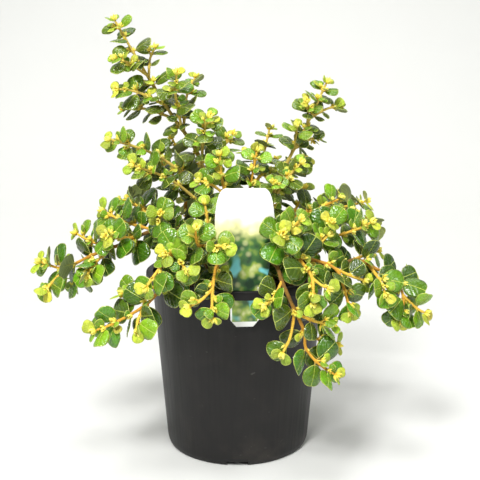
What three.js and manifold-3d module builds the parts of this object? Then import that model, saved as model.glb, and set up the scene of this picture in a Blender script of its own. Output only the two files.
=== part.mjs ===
// A potted white correa: a compact evergreen shrub in a round nursery pot, with its plant label in the rim.
// Millimetres, +Z up. The origin is the centre of the pot's foot, and the label is on the -Y side.
import * as THREE from "three";
import { mergeVertices } from "three/addons/utils/BufferGeometryUtils.js";
import Module from "manifold-3d";

const wasm = await Module();
wasm.setup();

// Pot
const POT_HEIGHT = 140;
const POT_TOP_RADIUS = 68;
const POT_FOOT_RADIUS = 56.5;
const POT_WALL = 1.4;
const POT_SEGMENTS = 36;
const FOOT_EDGE = 4;
const FLOOR_RAISE = 4;
const BOSS_RADIUS = 12;
const RIM_RADIUS = 72;
const RIM_HEIGHT = 6.5;
const RIM_WALL = 1.3;
const NOTCH = { count: 4, width: 16, height: 3.5, depth: 16 };
const DRAIN = { count: 4, radius: 4.5, ring: 38 };
// Soil
const SOIL_TOP = 126;
const SOIL_GAP = 0.3;
const SOIL_RINGS = 4;
const SOIL_SEGMENTS = 18;
const SOIL_LUMP = 1.6;
const FOOT_DEPTH = 14;
const HOLE_SIDES = 5;
const HOLE_CLEARANCE = 0.65;
// Label
const LABEL = { turn: 4.4, radius: 68.6, top: 213, bulge: 189, waist: 30, corner: 5, thickness: 0.7 };
const LABEL_HALF_WIDTHS = { top: 18, bulge: 21, rim: 13.5, tail: 10.25, end: 6 };
const LABEL_TAIL = { shoulder: 142.5, corner: 118.5, bottom: 113.5 };
const SLOT = { width: 22, depth: 1.5 };
// Leafy stems
const STEP = 2.5;
const SEGMENT = 17;
const ATTACH_COSINE = 0.66;
const AXIS_RADIUS = { base: 0.95, perLength: 0.0065, tip: 0.85 };
const SQUARE = 1.15;
const BUD = { length: 3.2, swell: 1.4 };
// Leaves
const PAIR = { first: 1.2, step: 4.9, growth: 1.25, bare: 12, bareFoot: 54 };
const YOUNG_SHARE = 0.5;
const LEAF_ANGLE = { old: THREE.MathUtils.degToRad(66), young: THREE.MathUtils.degToRad(48) };
const LEAF_THICKNESS = 1.2;
const LEAF_BASE = 1.3;
const MAX_TWIST = 1.2;
const LIGHT = { out: 0.85, up: 0.6, front: 0.5, share: 0.8, flat: 0.55 };
const LIGHT_FADE = { high: 165, rise: 70, back: 90, depth: 120 };
const LEAF_REACH = 0.62;
const LEAF_RADIUS = 0.44;
const LEAF_SHOULDER = 0.21;
const NEAR = { other: 2.0, own: 1.15 };
const OWN_AXIS_FREE = 4;
const OUTLINE = [
  { along: 0.32, across: 0.34, lift: -0.05 },
  { along: 0.76, across: 0.42, lift: -0.09 },
  { along: 1.0, across: 0, lift: -0.08 },
];
const LEAF_TRIES = [
  { roll: 0, pitch: 0, size: 1 },
  { roll: 0.45, pitch: 0, size: 1 },
  { roll: -0.45, pitch: 0, size: 1 },
  { roll: 0, pitch: -0.4, size: 1 },
  { roll: 0, pitch: 0.4, size: 1 },
  { roll: 0.7, pitch: -0.3, size: 0.9 },
  { roll: -0.7, pitch: -0.3, size: 0.9 },
  { roll: 0.5, pitch: 0.4, size: 0.85 },
  { roll: -0.5, pitch: 0.4, size: 0.85 },
];

// Each leafy stem rises from its foot in the soil along its route. A shoot is given by its tip alone,
// or as a branch with a route and shoots of its own.
const STEMS = [
  {
    name: "stem_left_tall",
    foot: [-7, 3],
    leaf: 17,
    route: [[-10, 4, 150], [-29, 12, 224], [-52, 20, 260], [-75, 24, 297], [-95, 22, 332]],
    shoots: [
      [-93, 6, 303], [-66, 38, 312], [-46, 2, 293], [-34, 38, 289], [-92, 6, 280], [-91, 36, 264],
      [-97, -10, 243], [-78, -20, 224], [-21, -12, 261], [-3, 28, 244], [-66, 42, 222],
    ],
  },
  {
    name: "stem_right_tall",
    foot: [10, 5],
    leaf: 16,
    route: [[11, 6, 150], [21, 16, 183], [40, 22, 223], [53, 26, 247], [71, 28, 286]],
    shoots: [
      [54, 16, 270], [82, 36, 266], [46, 8, 252], [66, 42, 240], [57, 46, 222],
      { route: [[26, -8, 192], [34, -10, 208], [48, -12, 225]], shoots: [[27, -24, 212]] },
    ],
  },
  {
    name: "stem_centre",
    foot: [-1, -9],
    leaf: 17,
    route: [[0, -9, 155], [10, -3, 207], [15, -2, 234]],
    shoots: [
      [24, 6, 217],
      { route: [[-6, -20, 190], [-11, -27, 212], [-13, -30, 233]], shoots: [[-28, -32, 214]] },
    ],
  },
  {
    name: "stem_back_tall",
    foot: [4, 17],
    leaf: 16.5,
    route: [[7, 22, 155], [17, 45, 205], [27, 62, 248]],
    shoots: [[6, 60, 228], { route: [[40, 58, 196], [54, 72, 222]], shoots: [[34, 84, 218]] }],
  },
  {
    name: "stem_left_long",
    foot: [-26, -4],
    leaf: 20.5,
    route: [
      [-32, -10, 156], [-57, -26, 176], [-87, -38, 167], [-107, -42, 160], [-128, -44, 151], [-144, -46, 156],
    ],
    shoots: [
      [-93, -60, 178], [-101, -18, 189], [-121, -28, 174], [-107, -66, 150], [-136, -64, 140],
      [-126, -24, 132], [-56, -46, 191], [-86, 2, 196],
    ],
  },
  {
    name: "stem_left_front",
    foot: [-21, -22],
    leaf: 20,
    route: [[-28, -34, 155], [-46, -60, 150], [-62, -78, 134], [-82, -86, 123], [-98, -90, 117]],
    shoots: [
      [-82, -70, 138], [-68, -100, 120],
      { route: [[-40, -62, 166], [-49, -84, 170]], shoots: [[-62, -92, 148], [-34, -92, 160]] },
    ],
  },
  {
    name: "stem_front_left",
    foot: [-8, -31],
    leaf: 18,
    route: [[-12, -42, 157], [-21, -62, 171], [-27, -82, 176], [-28, -90, 188]],
    shoots: [
      [-8, -97, 178], [-23, -54, 200],
      { route: [[-15, -76, 158], [-17, -90, 142], [-17, -94, 128]], shoots: [[-32, -95, 136]] },
    ],
  },
  {
    name: "stem_right_front",
    foot: [13, -29],
    leaf: 20,
    route: [
      [17, -40, 156], [27, -66, 158], [31, -84, 150], [37, -90, 137], [46, -91, 117], [47, -92, 106],
      [55, -95, 96], [67, -97, 88],
    ],
    shoots: [
      [18, -102, 138], [66, -88, 122], [70, -80, 104], [30, -103, 104],
      { route: [[29, -64, 174], [31, -84, 184]], shoots: [[44, -72, 192]] },
    ],
  },
  {
    name: "stem_right_inner",
    foot: [22, -19],
    leaf: 19,
    route: [[28, -30, 156], [50, -54, 160], [69, -68, 156], [75, -76, 142], [79, -80, 126]],
    shoots: [
      [90, -66, 147], [66, -54, 178],
      { route: [[44, -70, 163], [51, -90, 154], [51, -97, 138]], shoots: [[62, -94, 148]] },
    ],
  },
  {
    name: "stem_right_long",
    foot: [26, -5],
    leaf: 20.5,
    route: [
      [34, -14, 152], [66, -42, 150], [86, -48, 158], [101, -52, 152], [114, -54, 146], [120, -58, 132],
      [118, -62, 115],
    ],
    shoots: [
      [106, -28, 161], [128, -38, 138], [104, -76, 138], [136, -66, 122],
      { route: [[62, -30, 168], [88, -44, 180], [98, -46, 186]], shoots: [[66, -56, 188]] },
    ],
  },
  {
    name: "stem_right_upper",
    foot: [20, 9],
    leaf: 18,
    route: [[25, 7, 160], [45, -2, 182], [60, -8, 189], [79, -12, 198]],
    shoots: [[52, 12, 202], [96, 14, 182]],
  },
  {
    name: "stem_back_left",
    foot: [-22, 11],
    leaf: 19,
    route: [[-32, 20, 158], [-70, 50, 178], [-104, 70, 170], [-122, 78, 158]],
    shoots: [
      [-92, 82, 190], [-98, 44, 188],
      { route: [[-40, 54, 204], [-56, 72, 238]], shoots: [[-68, 52, 224], [-32, 78, 218]] },
    ],
  },
  {
    name: "stem_back",
    foot: [-8, 24],
    leaf: 19,
    route: [[-11, 36, 158], [-18, 78, 174], [-22, 110, 162], [-24, 126, 146]],
    shoots: [
      [-48, 96, 182], [-54, 78, 158],
      { route: [[8, 86, 172], [18, 114, 166]], shoots: [[-4, 112, 188]] },
    ],
  },
  {
    name: "stem_back_right",
    foot: [18, 24],
    leaf: 19,
    route: [[30, 32, 158], [74, 54, 178], [104, 68, 170], [122, 76, 158]],
    shoots: [
      [90, 82, 190], [108, 44, 188],
      { route: [[46, 84, 164], [58, 108, 148], [62, 116, 128]], shoots: [[82, 96, 142]] },
    ],
  },
];

const UP = new THREE.Vector3(0, 0, 1);
const vector = (p) => new THREE.Vector3(...p);

// A linear congruential generator, so that every build draws the same numbers.
function makeRandom(seed) {
  let state = seed;
  return () => {
    state = (state * 1664525 + 1013904223) % 4294967296;
    return state / 4294967296;
  };
}

// Solids: a geometry as a manifold-3d solid, and back
function solid(geometry) {
  const bare = geometry.clone();
  bare.deleteAttribute("normal");
  bare.deleteAttribute("uv");
  const merged = mergeVertices(bare, 1e-4);
  return new wasm.Manifold(
    new wasm.Mesh({
      numProp: 3,
      vertProperties: new Float32Array(merged.attributes.position.array),
      triVerts: new Uint32Array(merged.index.array),
    }),
  );
}

function geometryOf(body) {
  const mesh = body.getMesh();
  const geometry = new THREE.BufferGeometry();
  geometry.setAttribute("position", new THREE.BufferAttribute(mesh.vertProperties, 3));
  geometry.setIndex(new THREE.BufferAttribute(mesh.triVerts, 1));
  geometry.computeVertexNormals();
  return geometry;
}

function indexedGeometry(points, triangles) {
  const geometry = new THREE.BufferGeometry().setFromPoints(points);
  geometry.setIndex(triangles.flat());
  return geometry;
}

// The outer radius of the pot's wall at a height
const wallRadius = (z) => POT_FOOT_RADIUS + ((POT_TOP_RADIUS - POT_FOOT_RADIUS) * z) / POT_HEIGHT;

// A lathe turned about Z, from a profile of [radius, height] that closes on itself or on the axis
const turned = (profile, segments) =>
  solid(
    new THREE.LatheGeometry(profile.map(([r, z]) => new THREE.Vector2(r, z)), segments).rotateX(Math.PI / 2),
  );

// The pot: a tapered shell on a notched foot ring and a centre boss, with drain holes and a down-turned rim
// that has a slot for the label
function makePot() {
  const rimLow = POT_HEIGHT - RIM_HEIGHT;
  const inner = (z) => wallRadius(z) - POT_WALL;
  let pot = turned(
    [
      [0, 0],
      [BOSS_RADIUS, 0],
      [BOSS_RADIUS, FLOOR_RAISE],
      [inner(0) - FOOT_EDGE / 2, FLOOR_RAISE],
      [inner(0) - FOOT_EDGE / 2, 0],
      [wallRadius(0) - FOOT_EDGE / 3, 0],
      [wallRadius(FOOT_EDGE), FOOT_EDGE],
      [wallRadius(POT_HEIGHT - RIM_WALL), POT_HEIGHT - RIM_WALL],
      [RIM_RADIUS - RIM_WALL, POT_HEIGHT - RIM_WALL],
      [RIM_RADIUS - RIM_WALL, rimLow],
      [RIM_RADIUS, rimLow],
      [RIM_RADIUS, POT_HEIGHT],
      [inner(POT_HEIGHT), POT_HEIGHT],
      [inner(FLOOR_RAISE + POT_WALL), FLOOR_RAISE + POT_WALL],
      [0, FLOOR_RAISE + POT_WALL],
    ],
    POT_SEGMENTS,
  );
  for (let i = 0; i < NOTCH.count; i++) {
    const turn = (i * 2 * Math.PI) / NOTCH.count;
    const notch = new THREE.BoxGeometry(NOTCH.width, NOTCH.depth, NOTCH.height * 2)
      .translate(0, -wallRadius(0), 0)
      .rotateZ(turn);
    pot = pot.subtract(solid(notch));
  }
  for (let i = 0; i < DRAIN.count; i++) {
    const turn = ((i + 0.5) * 2 * Math.PI) / DRAIN.count;
    const hole = new THREE.CylinderGeometry(DRAIN.radius, DRAIN.radius, FLOOR_RAISE * 4, 8)
      .rotateX(Math.PI / 2)
      .translate(DRAIN.ring * Math.cos(turn), DRAIN.ring * Math.sin(turn), FLOOR_RAISE);
    pot = pot.subtract(solid(hole));
  }
  const slot = new THREE.BoxGeometry(SLOT.width, SLOT.depth, RIM_WALL * 4)
    .translate(0, -LABEL.radius, POT_HEIGHT - RIM_WALL / 2)
    .rotateZ(THREE.MathUtils.degToRad(LABEL.turn));
  return pot.subtract(solid(slot));
}

// The soil: it fills the pot to just under the rim, with a lumpy top
function makeSoil(feet) {
  const random = makeRandom(11);
  const bottom = FLOOR_RAISE + POT_WALL + SOIL_GAP;
  const inner = (z) => (wallRadius(z) - POT_WALL) * Math.cos(Math.PI / POT_SEGMENTS) - SOIL_GAP;
  const points = [new THREE.Vector3(0, 0, bottom)];
  const triangles = [];
  const ring = (radius, height) => {
    for (let i = 0; i < SOIL_SEGMENTS; i++) {
      const turn = (i * 2 * Math.PI) / SOIL_SEGMENTS;
      points.push(new THREE.Vector3(radius * Math.cos(turn), radius * Math.sin(turn), height()));
    }
  };
  ring(inner(bottom), () => bottom);
  for (let k = SOIL_RINGS; k > 0; k--) {
    const lump = k === SOIL_RINGS ? 0 : SOIL_LUMP;
    ring((inner(SOIL_TOP) * k) / SOIL_RINGS, () => SOIL_TOP + lump * (random() - 0.5) * 2);
  }
  points.push(new THREE.Vector3(0, 0, SOIL_TOP));
  const last = points.length - 1;
  for (let i = 0; i < SOIL_SEGMENTS; i++) {
    const next = (i + 1) % SOIL_SEGMENTS;
    triangles.push([0, 1 + next, 1 + i]);
    for (let k = 0; k < SOIL_RINGS; k++) {
      const low = 1 + k * SOIL_SEGMENTS;
      const high = low + SOIL_SEGMENTS;
      triangles.push([low + i, low + next, high + next], [low + i, high + next, high + i]);
    }
    triangles.push([last - SOIL_SEGMENTS + i, last - SOIL_SEGMENTS + next, last]);
  }
  let soil = solid(indexedGeometry(points, triangles));
  for (const { x, y, radius } of feet) {
    const depth = FOOT_DEPTH + SOIL_GAP;
    const wide = (radius + HOLE_CLEARANCE) / Math.cos(Math.PI / HOLE_SIDES);
    const hole = new THREE.CylinderGeometry(wide, wide, depth * 2, HOLE_SIDES)
      .rotateX(Math.PI / 2)
      .translate(x, y, SOIL_TOP);
    soil = soil.subtract(solid(hole));
  }
  return soil;
}

// The plant label: a flat tag with a rounded head, whose tail goes down through the rim's slot
function makeLabel() {
  const { top, bulge, rim, tail, end } = LABEL_HALF_WIDTHS;
  const waist = LABEL.bulge - LABEL.waist;
  const shape = new THREE.Shape();
  shape.moveTo(-end, LABEL_TAIL.bottom);
  shape.lineTo(end, LABEL_TAIL.bottom);
  shape.lineTo(tail, LABEL_TAIL.corner);
  shape.lineTo(tail, LABEL_TAIL.shoulder);
  shape.lineTo(rim, LABEL_TAIL.shoulder);
  shape.quadraticCurveTo(bulge - 1, waist, bulge, LABEL.bulge);
  shape.quadraticCurveTo(top + 2, LABEL.top, top - LABEL.corner, LABEL.top);
  shape.lineTo(LABEL.corner - top, LABEL.top);
  shape.quadraticCurveTo(-top - 2, LABEL.top, -bulge, LABEL.bulge);
  shape.quadraticCurveTo(1 - bulge, waist, -rim, LABEL_TAIL.shoulder);
  shape.lineTo(-tail, LABEL_TAIL.shoulder);
  shape.lineTo(-tail, LABEL_TAIL.corner);
  const sheet = { depth: LABEL.thickness, bevelEnabled: false, curveSegments: 4 };
  const plate = new THREE.ExtrudeGeometry(shape, sheet)
    .rotateX(Math.PI / 2)
    .translate(0, LABEL.thickness / 2 - LABEL.radius, 0)
    .rotateZ(THREE.MathUtils.degToRad(LABEL.turn));
  return solid(plate);
}

// An axis is a stem's or shoot's centre line: points in equal steps, each with a sideways direction.
function makeAxis(stations) {
  const curve = new THREE.CatmullRomCurve3(stations, false, "catmullrom", 0.5);
  const count = 12 * (stations.length - 1);
  const fine = Array.from({ length: count + 1 }, (_, i) => curve.getPoint(i / count));
  const points = [fine[0]];
  let next = STEP;
  for (let i = 1; i < fine.length; i++) {
    const span = fine[i].distanceTo(fine[i - 1]);
    for (; next <= span; next += STEP) points.push(fine[i - 1].clone().lerp(fine[i], next / span));
    next -= span;
  }
  const length = (points.length - 1) * STEP;
  const base = AXIS_RADIUS.base + AXIS_RADIUS.perLength * length;
  const axis = { points, length, base, sides: [] };
  let side = new THREE.Vector3(1, 0.3, 0.1);
  for (let i = 0; i < points.length; i++) {
    const tangent = tangentAt(axis, i * STEP);
    side = side.clone().addScaledVector(tangent, -side.dot(tangent)).normalize();
    axis.sides.push(side);
  }
  return axis;
}

const radiusAt = (axis, along) => axis.base + ((AXIS_RADIUS.tip - axis.base) * along) / axis.length;

function pointAt(axis, along) {
  const i = Math.min(Math.floor(along / STEP), axis.points.length - 2);
  return axis.points[i].clone().lerp(axis.points[i + 1], along / STEP - i);
}

function tangentAt(axis, along) {
  const i = Math.min(Math.max(Math.round(along / STEP), 1), axis.points.length - 2);
  return axis.points[i + 1].clone().sub(axis.points[i - 1]).normalize();
}

// The direction away from an axis at a turn about it
function sideAt(axis, along, turn) {
  const tangent = tangentAt(axis, along);
  const side = axis.sides[Math.round(along / STEP)];
  return side.clone().applyAxisAngle(tangent, turn);
}

// A shoot leaves its parent at the last point from which it still leans forward by a set angle.
function shootStations(parent, route) {
  const first = vector(route[0]);
  const lowest = parent.points.findIndex((p) => p.z > SOIL_TOP + 8 || parent.points[0].z > SOIL_TOP) + 1;
  let at = lowest;
  for (let i = lowest; i < parent.points.length - 2; i++) {
    const reach = first.clone().sub(parent.points[i]);
    if (reach.dot(tangentAt(parent, i * STEP)) >= ATTACH_COSINE * reach.length()) at = i;
  }
  const start = parent.points[at];
  const reach = first.clone().sub(start);
  const bend = start
    .clone()
    .addScaledVector(reach, 0.5)
    .addScaledVector(tangentAt(parent, at * STEP), 0.1 * reach.length());
  return [start, bend, ...route.map(vector)];
}

// All axes of a leafy stem, its main one first
function growAxes(stem) {
  const [x, y] = stem.foot;
  const feet = [new THREE.Vector3(x, y, SOIL_TOP - FOOT_DEPTH), new THREE.Vector3(x, y, SOIL_TOP + 4)];
  const axes = [];
  const grow = (stations, shoots) => {
    const axis = makeAxis(stations);
    axes.push(axis);
    for (const shoot of shoots) {
      const branch = Array.isArray(shoot) ? { route: [shoot], shoots: [] } : shoot;
      grow(shootStations(axis, branch.route), branch.shoots);
    }
  };
  grow([...feet, ...stem.route.map(vector)], stem.shoots);
  return axes;
}

// Where a leaf's light comes from: above and outward, and from the front over most of the plant. High up it
// is hardly outward and more from the front.
function lightAt({ x, y, z }) {
  const high = THREE.MathUtils.clamp((z - LIGHT_FADE.high) / LIGHT_FADE.rise, 0, 1);
  const near = THREE.MathUtils.clamp((LIGHT_FADE.back - y) / LIGHT_FADE.depth, 0, 1);
  const out = (LIGHT.out * (1 - 0.85 * high)) / Math.max(Math.hypot(x, y), 40);
  return new THREE.Vector3(x * out, y * out - LIGHT.front * (1 + high) * near, LIGHT.up).normalize();
}

// A leaf's frame: base point, midrib direction and upper side, which turns most of the way to the light.
// It is flipped where its upper side faces back down its axis.
function leafFrame(axis, along, turn, age, tryOf) {
  const base = pointAt(axis, along);
  const tangent = tangentAt(axis, along);
  const light = lightAt(base);
  const angle = LEAF_ANGLE.old + (LEAF_ANGLE.young - LEAF_ANGLE.old) * Math.exp(-age) + tryOf.pitch;
  const midrib = tangent
    .clone()
    .multiplyScalar(Math.cos(angle))
    .addScaledVector(sideAt(axis, along, turn), Math.sin(angle));
  midrib.addScaledVector(light, -LIGHT.flat * midrib.dot(light)).normalize();
  const across = (v) => v.clone().addScaledVector(midrib, -v.dot(midrib)).normalize();
  const neutral = across(tangent);
  const wanted = across(light);
  const full = Math.atan2(neutral.clone().cross(wanted).dot(midrib), neutral.dot(wanted));
  const roll = LIGHT.share * full + tryOf.roll;
  const flips = Math.round(roll / Math.PI);
  const twist = THREE.MathUtils.clamp(roll - flips * Math.PI, -MAX_TWIST, MAX_TWIST);
  const normal = neutral.applyAxisAngle(midrib, flips * Math.PI + twist);
  return { base, midrib, normal, flipped: flips % 2 !== 0 };
}

// A leaf stands for its blade as a disc, with points to test on it and on its stalk.
function makeLeaf(frame, length) {
  const { base, midrib, normal } = frame;
  const across = normal.clone().cross(midrib);
  const reach = LEAF_REACH * length;
  const centre = base.clone().addScaledVector(midrib, reach).addScaledVector(normal, -0.03 * length);
  const radius = LEAF_RADIUS * length;
  const samples = [centre, base.clone().lerp(centre, 0.25), base.clone().lerp(centre, 0.5)];
  for (const hand of [1, -1]) {
    const shoulder = LEAF_SHOULDER * length;
    samples.push(base.clone().addScaledVector(midrib, shoulder).addScaledVector(across, hand * shoulder));
  }
  for (let i = 0; i < 8; i++) {
    const turn = (i * Math.PI) / 4;
    samples.push(
      centre
        .clone()
        .addScaledVector(midrib, radius * Math.cos(turn))
        .addScaledVector(across, radius * Math.sin(turn)),
    );
  }
  return { ...frame, across, length, centre, radius, samples };
}

function discToPoint(disc, point) {
  const offset = point.clone().sub(disc.centre);
  const height = offset.dot(disc.normal);
  const out = Math.sqrt(Math.max(0, offset.lengthSq() - height * height)) - disc.radius;
  return Math.hypot(height, Math.max(0, out));
}

// Two discs cross where their chords along the line that both planes share overlap.
function discsCross(a, b) {
  const chord = (one, other) => {
    const slope = other.normal.clone().addScaledVector(one.normal, -other.normal.dot(one.normal));
    const sine2 = slope.lengthSq();
    const height = one.centre.clone().sub(other.centre).dot(other.normal);
    const half2 = one.radius ** 2 - height ** 2 / Math.max(sine2, 1e-6);
    return { middle: one.centre.clone().addScaledVector(slope, -height / Math.max(sine2, 1e-6)), half2 };
  };
  const first = chord(a, b);
  const second = chord(b, a);
  if (first.half2 <= 0 || second.half2 <= 0) return false;
  return first.middle.distanceTo(second.middle) < Math.sqrt(first.half2) + Math.sqrt(second.half2);
}

function leavesClash(a, b, margin) {
  if (a.centre.distanceTo(b.centre) > a.length + b.length) return false;
  if (discsCross(a, b)) return true;
  return (
    a.samples.some((p) => discToPoint(b, p) < margin) || b.samples.some((p) => discToPoint(a, p) < margin)
  );
}

// Whether a leaf comes too close to the pot, its rim, the soil or the label
function meetsPot(leaf) {
  const turn = THREE.MathUtils.degToRad(-LABEL.turn);
  return leaf.samples.some((p) => {
    const out = Math.hypot(p.x, p.y);
    if (p.z < SOIL_TOP + 3 && out < RIM_RADIUS) return true;
    if (p.z < POT_HEIGHT + 2 && out > wallRadius(p.z) - 4 && out < RIM_RADIUS + 2) return true;
    const local = p.clone().applyAxisAngle(UP, turn);
    const besideLabel = Math.abs(local.x) < LABEL_HALF_WIDTHS.bulge + 2 && p.z < LABEL.top + 2;
    return besideLabel && Math.abs(local.y + LABEL.radius) < 3;
  });
}

// Whether a leaf comes too close to an axis; its own is let off close to its stalk.
function meetsAxis(leaf, along, axis, owned, other) {
  const [, stalk] = leaf.samples;
  return other.points.some((p, i) => {
    if (other === axis && Math.abs(i * STEP - along) < OWN_AXIS_FREE) return false;
    if (p.distanceTo(leaf.centre) > leaf.length * 2) return false;
    const gap = Math.min(discToPoint(leaf, p), stalk.distanceTo(p)) - radiusAt(other, i * STEP);
    return gap < (owned ? NEAR.own : NEAR.other);
  });
}

// The leaf at a place on an axis, turned, tilted or made smaller until it clears everything else, or none
function placeLeaf(plant, stem, axis, { along, turn, age, length }) {
  for (const tryOf of LEAF_TRIES) {
    const leaf = makeLeaf(leafFrame(axis, along, turn, age, tryOf), length * tryOf.size);
    if (meetsPot(leaf)) continue;
    const nearAxis = ({ owner, axis: other }) => meetsAxis(leaf, along, axis, owner === stem, other);
    const nearLeaf = (other) => leavesClash(leaf, other, other.owner === stem ? NEAR.own : NEAR.other);
    if (!plant.axes.some(nearAxis) && !plant.leaves.some(nearLeaf)) return { ...leaf, owner: stem };
  }
  return null;
}

// Leaf pairs stand crosswise, each a quarter turn from the next, closer and smaller towards the tip.
function addLeaves(plant, stem, axes, random) {
  for (const axis of axes) {
    const start = random() * Math.PI;
    const bare = axis === axes[0] ? PAIR.bareFoot : PAIR.bare;
    for (let pair = 1; ; pair++) {
      const along = axis.length - PAIR.first - PAIR.step * pair - PAIR.growth * pair * pair;
      if (along < bare) break;
      const phase = start + (random() - 0.5) * 0.5;
      const full = stem.leaf * (1 - YOUNG_SHARE * Math.exp(-pair));
      for (const face of [pair % 4, (pair + 2) % 4]) {
        const length = full * (0.92 + 0.16 * random());
        const turn = phase + (face * Math.PI) / 2;
        const leaf = placeLeaf(plant, stem, axis, { along, turn, age: pair - 1, length });
        if (leaf) plant.leaves.push({ ...leaf, axis, along, phase, face });
      }
    }
  }
}

// Where an axis has its rings of corners: below and above each leaf pair, with more on long bare stretches
function ringStations(axis, leaves) {
  const pairs = new Map(leaves.map((leaf) => [leaf.along, leaf.phase]));
  const ends = [...pairs.keys()].sort((a, b) => a - b);
  const stations = [{ along: 0, phase: pairs.get(ends[0]) ?? 0 }];
  const fill = (to, phase) => {
    const from = stations.at(-1).along;
    const count = Math.ceil((to - from) / SEGMENT);
    for (let i = 1; i < count; i++) stations.push({ along: from + ((to - from) * i) / count, phase });
  };
  for (const along of ends) {
    const phase = pairs.get(along);
    fill(along - LEAF_BASE / 2, phase);
    stations.push({ along: along - LEAF_BASE / 2, phase, pair: along });
    stations.push({ along: along + LEAF_BASE / 2, phase });
  }
  fill(axis.length, stations.at(-1).phase);
  stations.push({ along: axis.length, phase: stations.at(-1).phase });
  return stations;
}

// A leaf's blade grows out of one face of its axis: a domed oval, thickest in the middle.
// The face's corners are low left, low right, high right and high left.
function addBlade(points, triangles, leaf, [a, b, c, d]) {
  const { base, midrib, normal, across, length, flipped } = leaf;
  const place = (along, side, lift) =>
    points.push(
      base
        .clone()
        .addScaledVector(midrib, along * length)
        .addScaledVector(across, side * length)
        .addScaledVector(normal, lift),
    ) - 1;
  const hand = flipped ? -1 : 1;
  const right = OUTLINE.map((p) => place(p.along, p.across * hand, p.lift * length));
  const left = OUTLINE.slice(0, -1).map((p) => place(p.along, -p.across * hand, p.lift * length));
  const upper = place(0.5, 0, 0.02 * length);
  const lower = place(0.42, 0, 0.02 * length - LEAF_THICKNESS);
  const [high, low] = flipped ? [lower, upper] : [upper, lower];
  const edge = [...left, ...[...right].reverse()];
  const rim = [d, ...edge, c];
  rim.forEach((p, i) => triangles.push([high, p, rim[(i + 1) % rim.length]]));
  const under = [b, ...[...edge].reverse(), a];
  under.forEach((p, i) => triangles.push([low, p, under[(i + 1) % under.length]]));
  triangles.push([a, left[0], d], [b, c, right[0]]);
}

// An axis with its leaves: a square tube that tapers and ends in a bud
function axisGeometry(axis, leaves) {
  const stations = ringStations(axis, leaves);
  const points = [];
  const triangles = [];
  for (const { along, phase } of stations) {
    const radius = radiusAt(axis, along) * (along === axis.length ? BUD.swell : SQUARE);
    for (let i = 0; i < 4; i++) {
      const side = sideAt(axis, along, phase + (i + 0.5) * (Math.PI / 2));
      points.push(pointAt(axis, along).addScaledVector(side, radius));
    }
  }
  const end = pointAt(axis, axis.length);
  const foot = points.push(axis.points[0].clone()) - 1;
  const tip = points.push(end.addScaledVector(tangentAt(axis, axis.length), BUD.length)) - 1;
  const top = (stations.length - 1) * 4;
  for (let face = 0; face < 4; face++) {
    const before = (face + 3) % 4;
    triangles.push([before, foot, face], [top + before, top + face, tip]);
    stations.slice(0, -1).forEach(({ pair }, k) => {
      const [a, b, c, d] = [4 * k + before, 4 * k + face, 4 * k + 4 + face, 4 * k + 4 + before];
      const leaf = leaves.find((one) => one.along === pair && one.face === face);
      if (leaf) addBlade(points, triangles, leaf, [a, b, c, d]);
      else triangles.push([a, b, c], [a, c, d]);
    });
  }
  return indexedGeometry(points, triangles);
}

// The plant: all axes first, then the leaves stem by stem
function growPlant() {
  const plant = { axes: [], leaves: [] };
  const grown = STEMS.map((stem) => ({ stem, axes: growAxes(stem) }));
  for (const { stem, axes } of grown) for (const axis of axes) plant.axes.push({ owner: stem, axis });
  grown.forEach(({ stem, axes }, i) => addLeaves(plant, stem, axes, makeRandom(101 + i)));
  return { plant, grown };
}

const material = (color, roughness) => new THREE.MeshStandardMaterial({ color, roughness, metalness: 0 });
const mesh = (name, body, look) => {
  const made = new THREE.Mesh(geometryOf(body), look);
  made.name = name;
  return made;
};

const { plant, grown } = growPlant();
const correa = new THREE.Group();
correa.add(mesh("pot", makePot(), material(0x2b2b2a, 0.45)));
const feet = grown.map(({ stem, axes }) => {
  const [x, y] = stem.foot;
  return { x, y, radius: axes[0].base * SQUARE };
});
correa.add(mesh("soil", makeSoil(feet), material(0x2a1d14, 0.95)));
correa.add(mesh("label", makeLabel(), material(0xf4f4ec, 0.4)));
const foliage = material(0x4f8a2c, 0.5);
for (const { stem, axes } of grown) {
  const leavesOf = (axis) => plant.leaves.filter((leaf) => leaf.axis === axis);
  const bodies = axes.map((axis) => solid(axisGeometry(axis, leavesOf(axis))));
  correa.add(mesh(stem.name, wasm.Manifold.union(bodies), foliage));
}

export default correa;
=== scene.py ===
"""The looks of a potted white correa: its leaves, bark, pot, potting mix and label, over the part's frame.

The shrub is grown by the same rule as the part, in millimetres, and each mesh is then made in metres.
"""

import math

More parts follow.
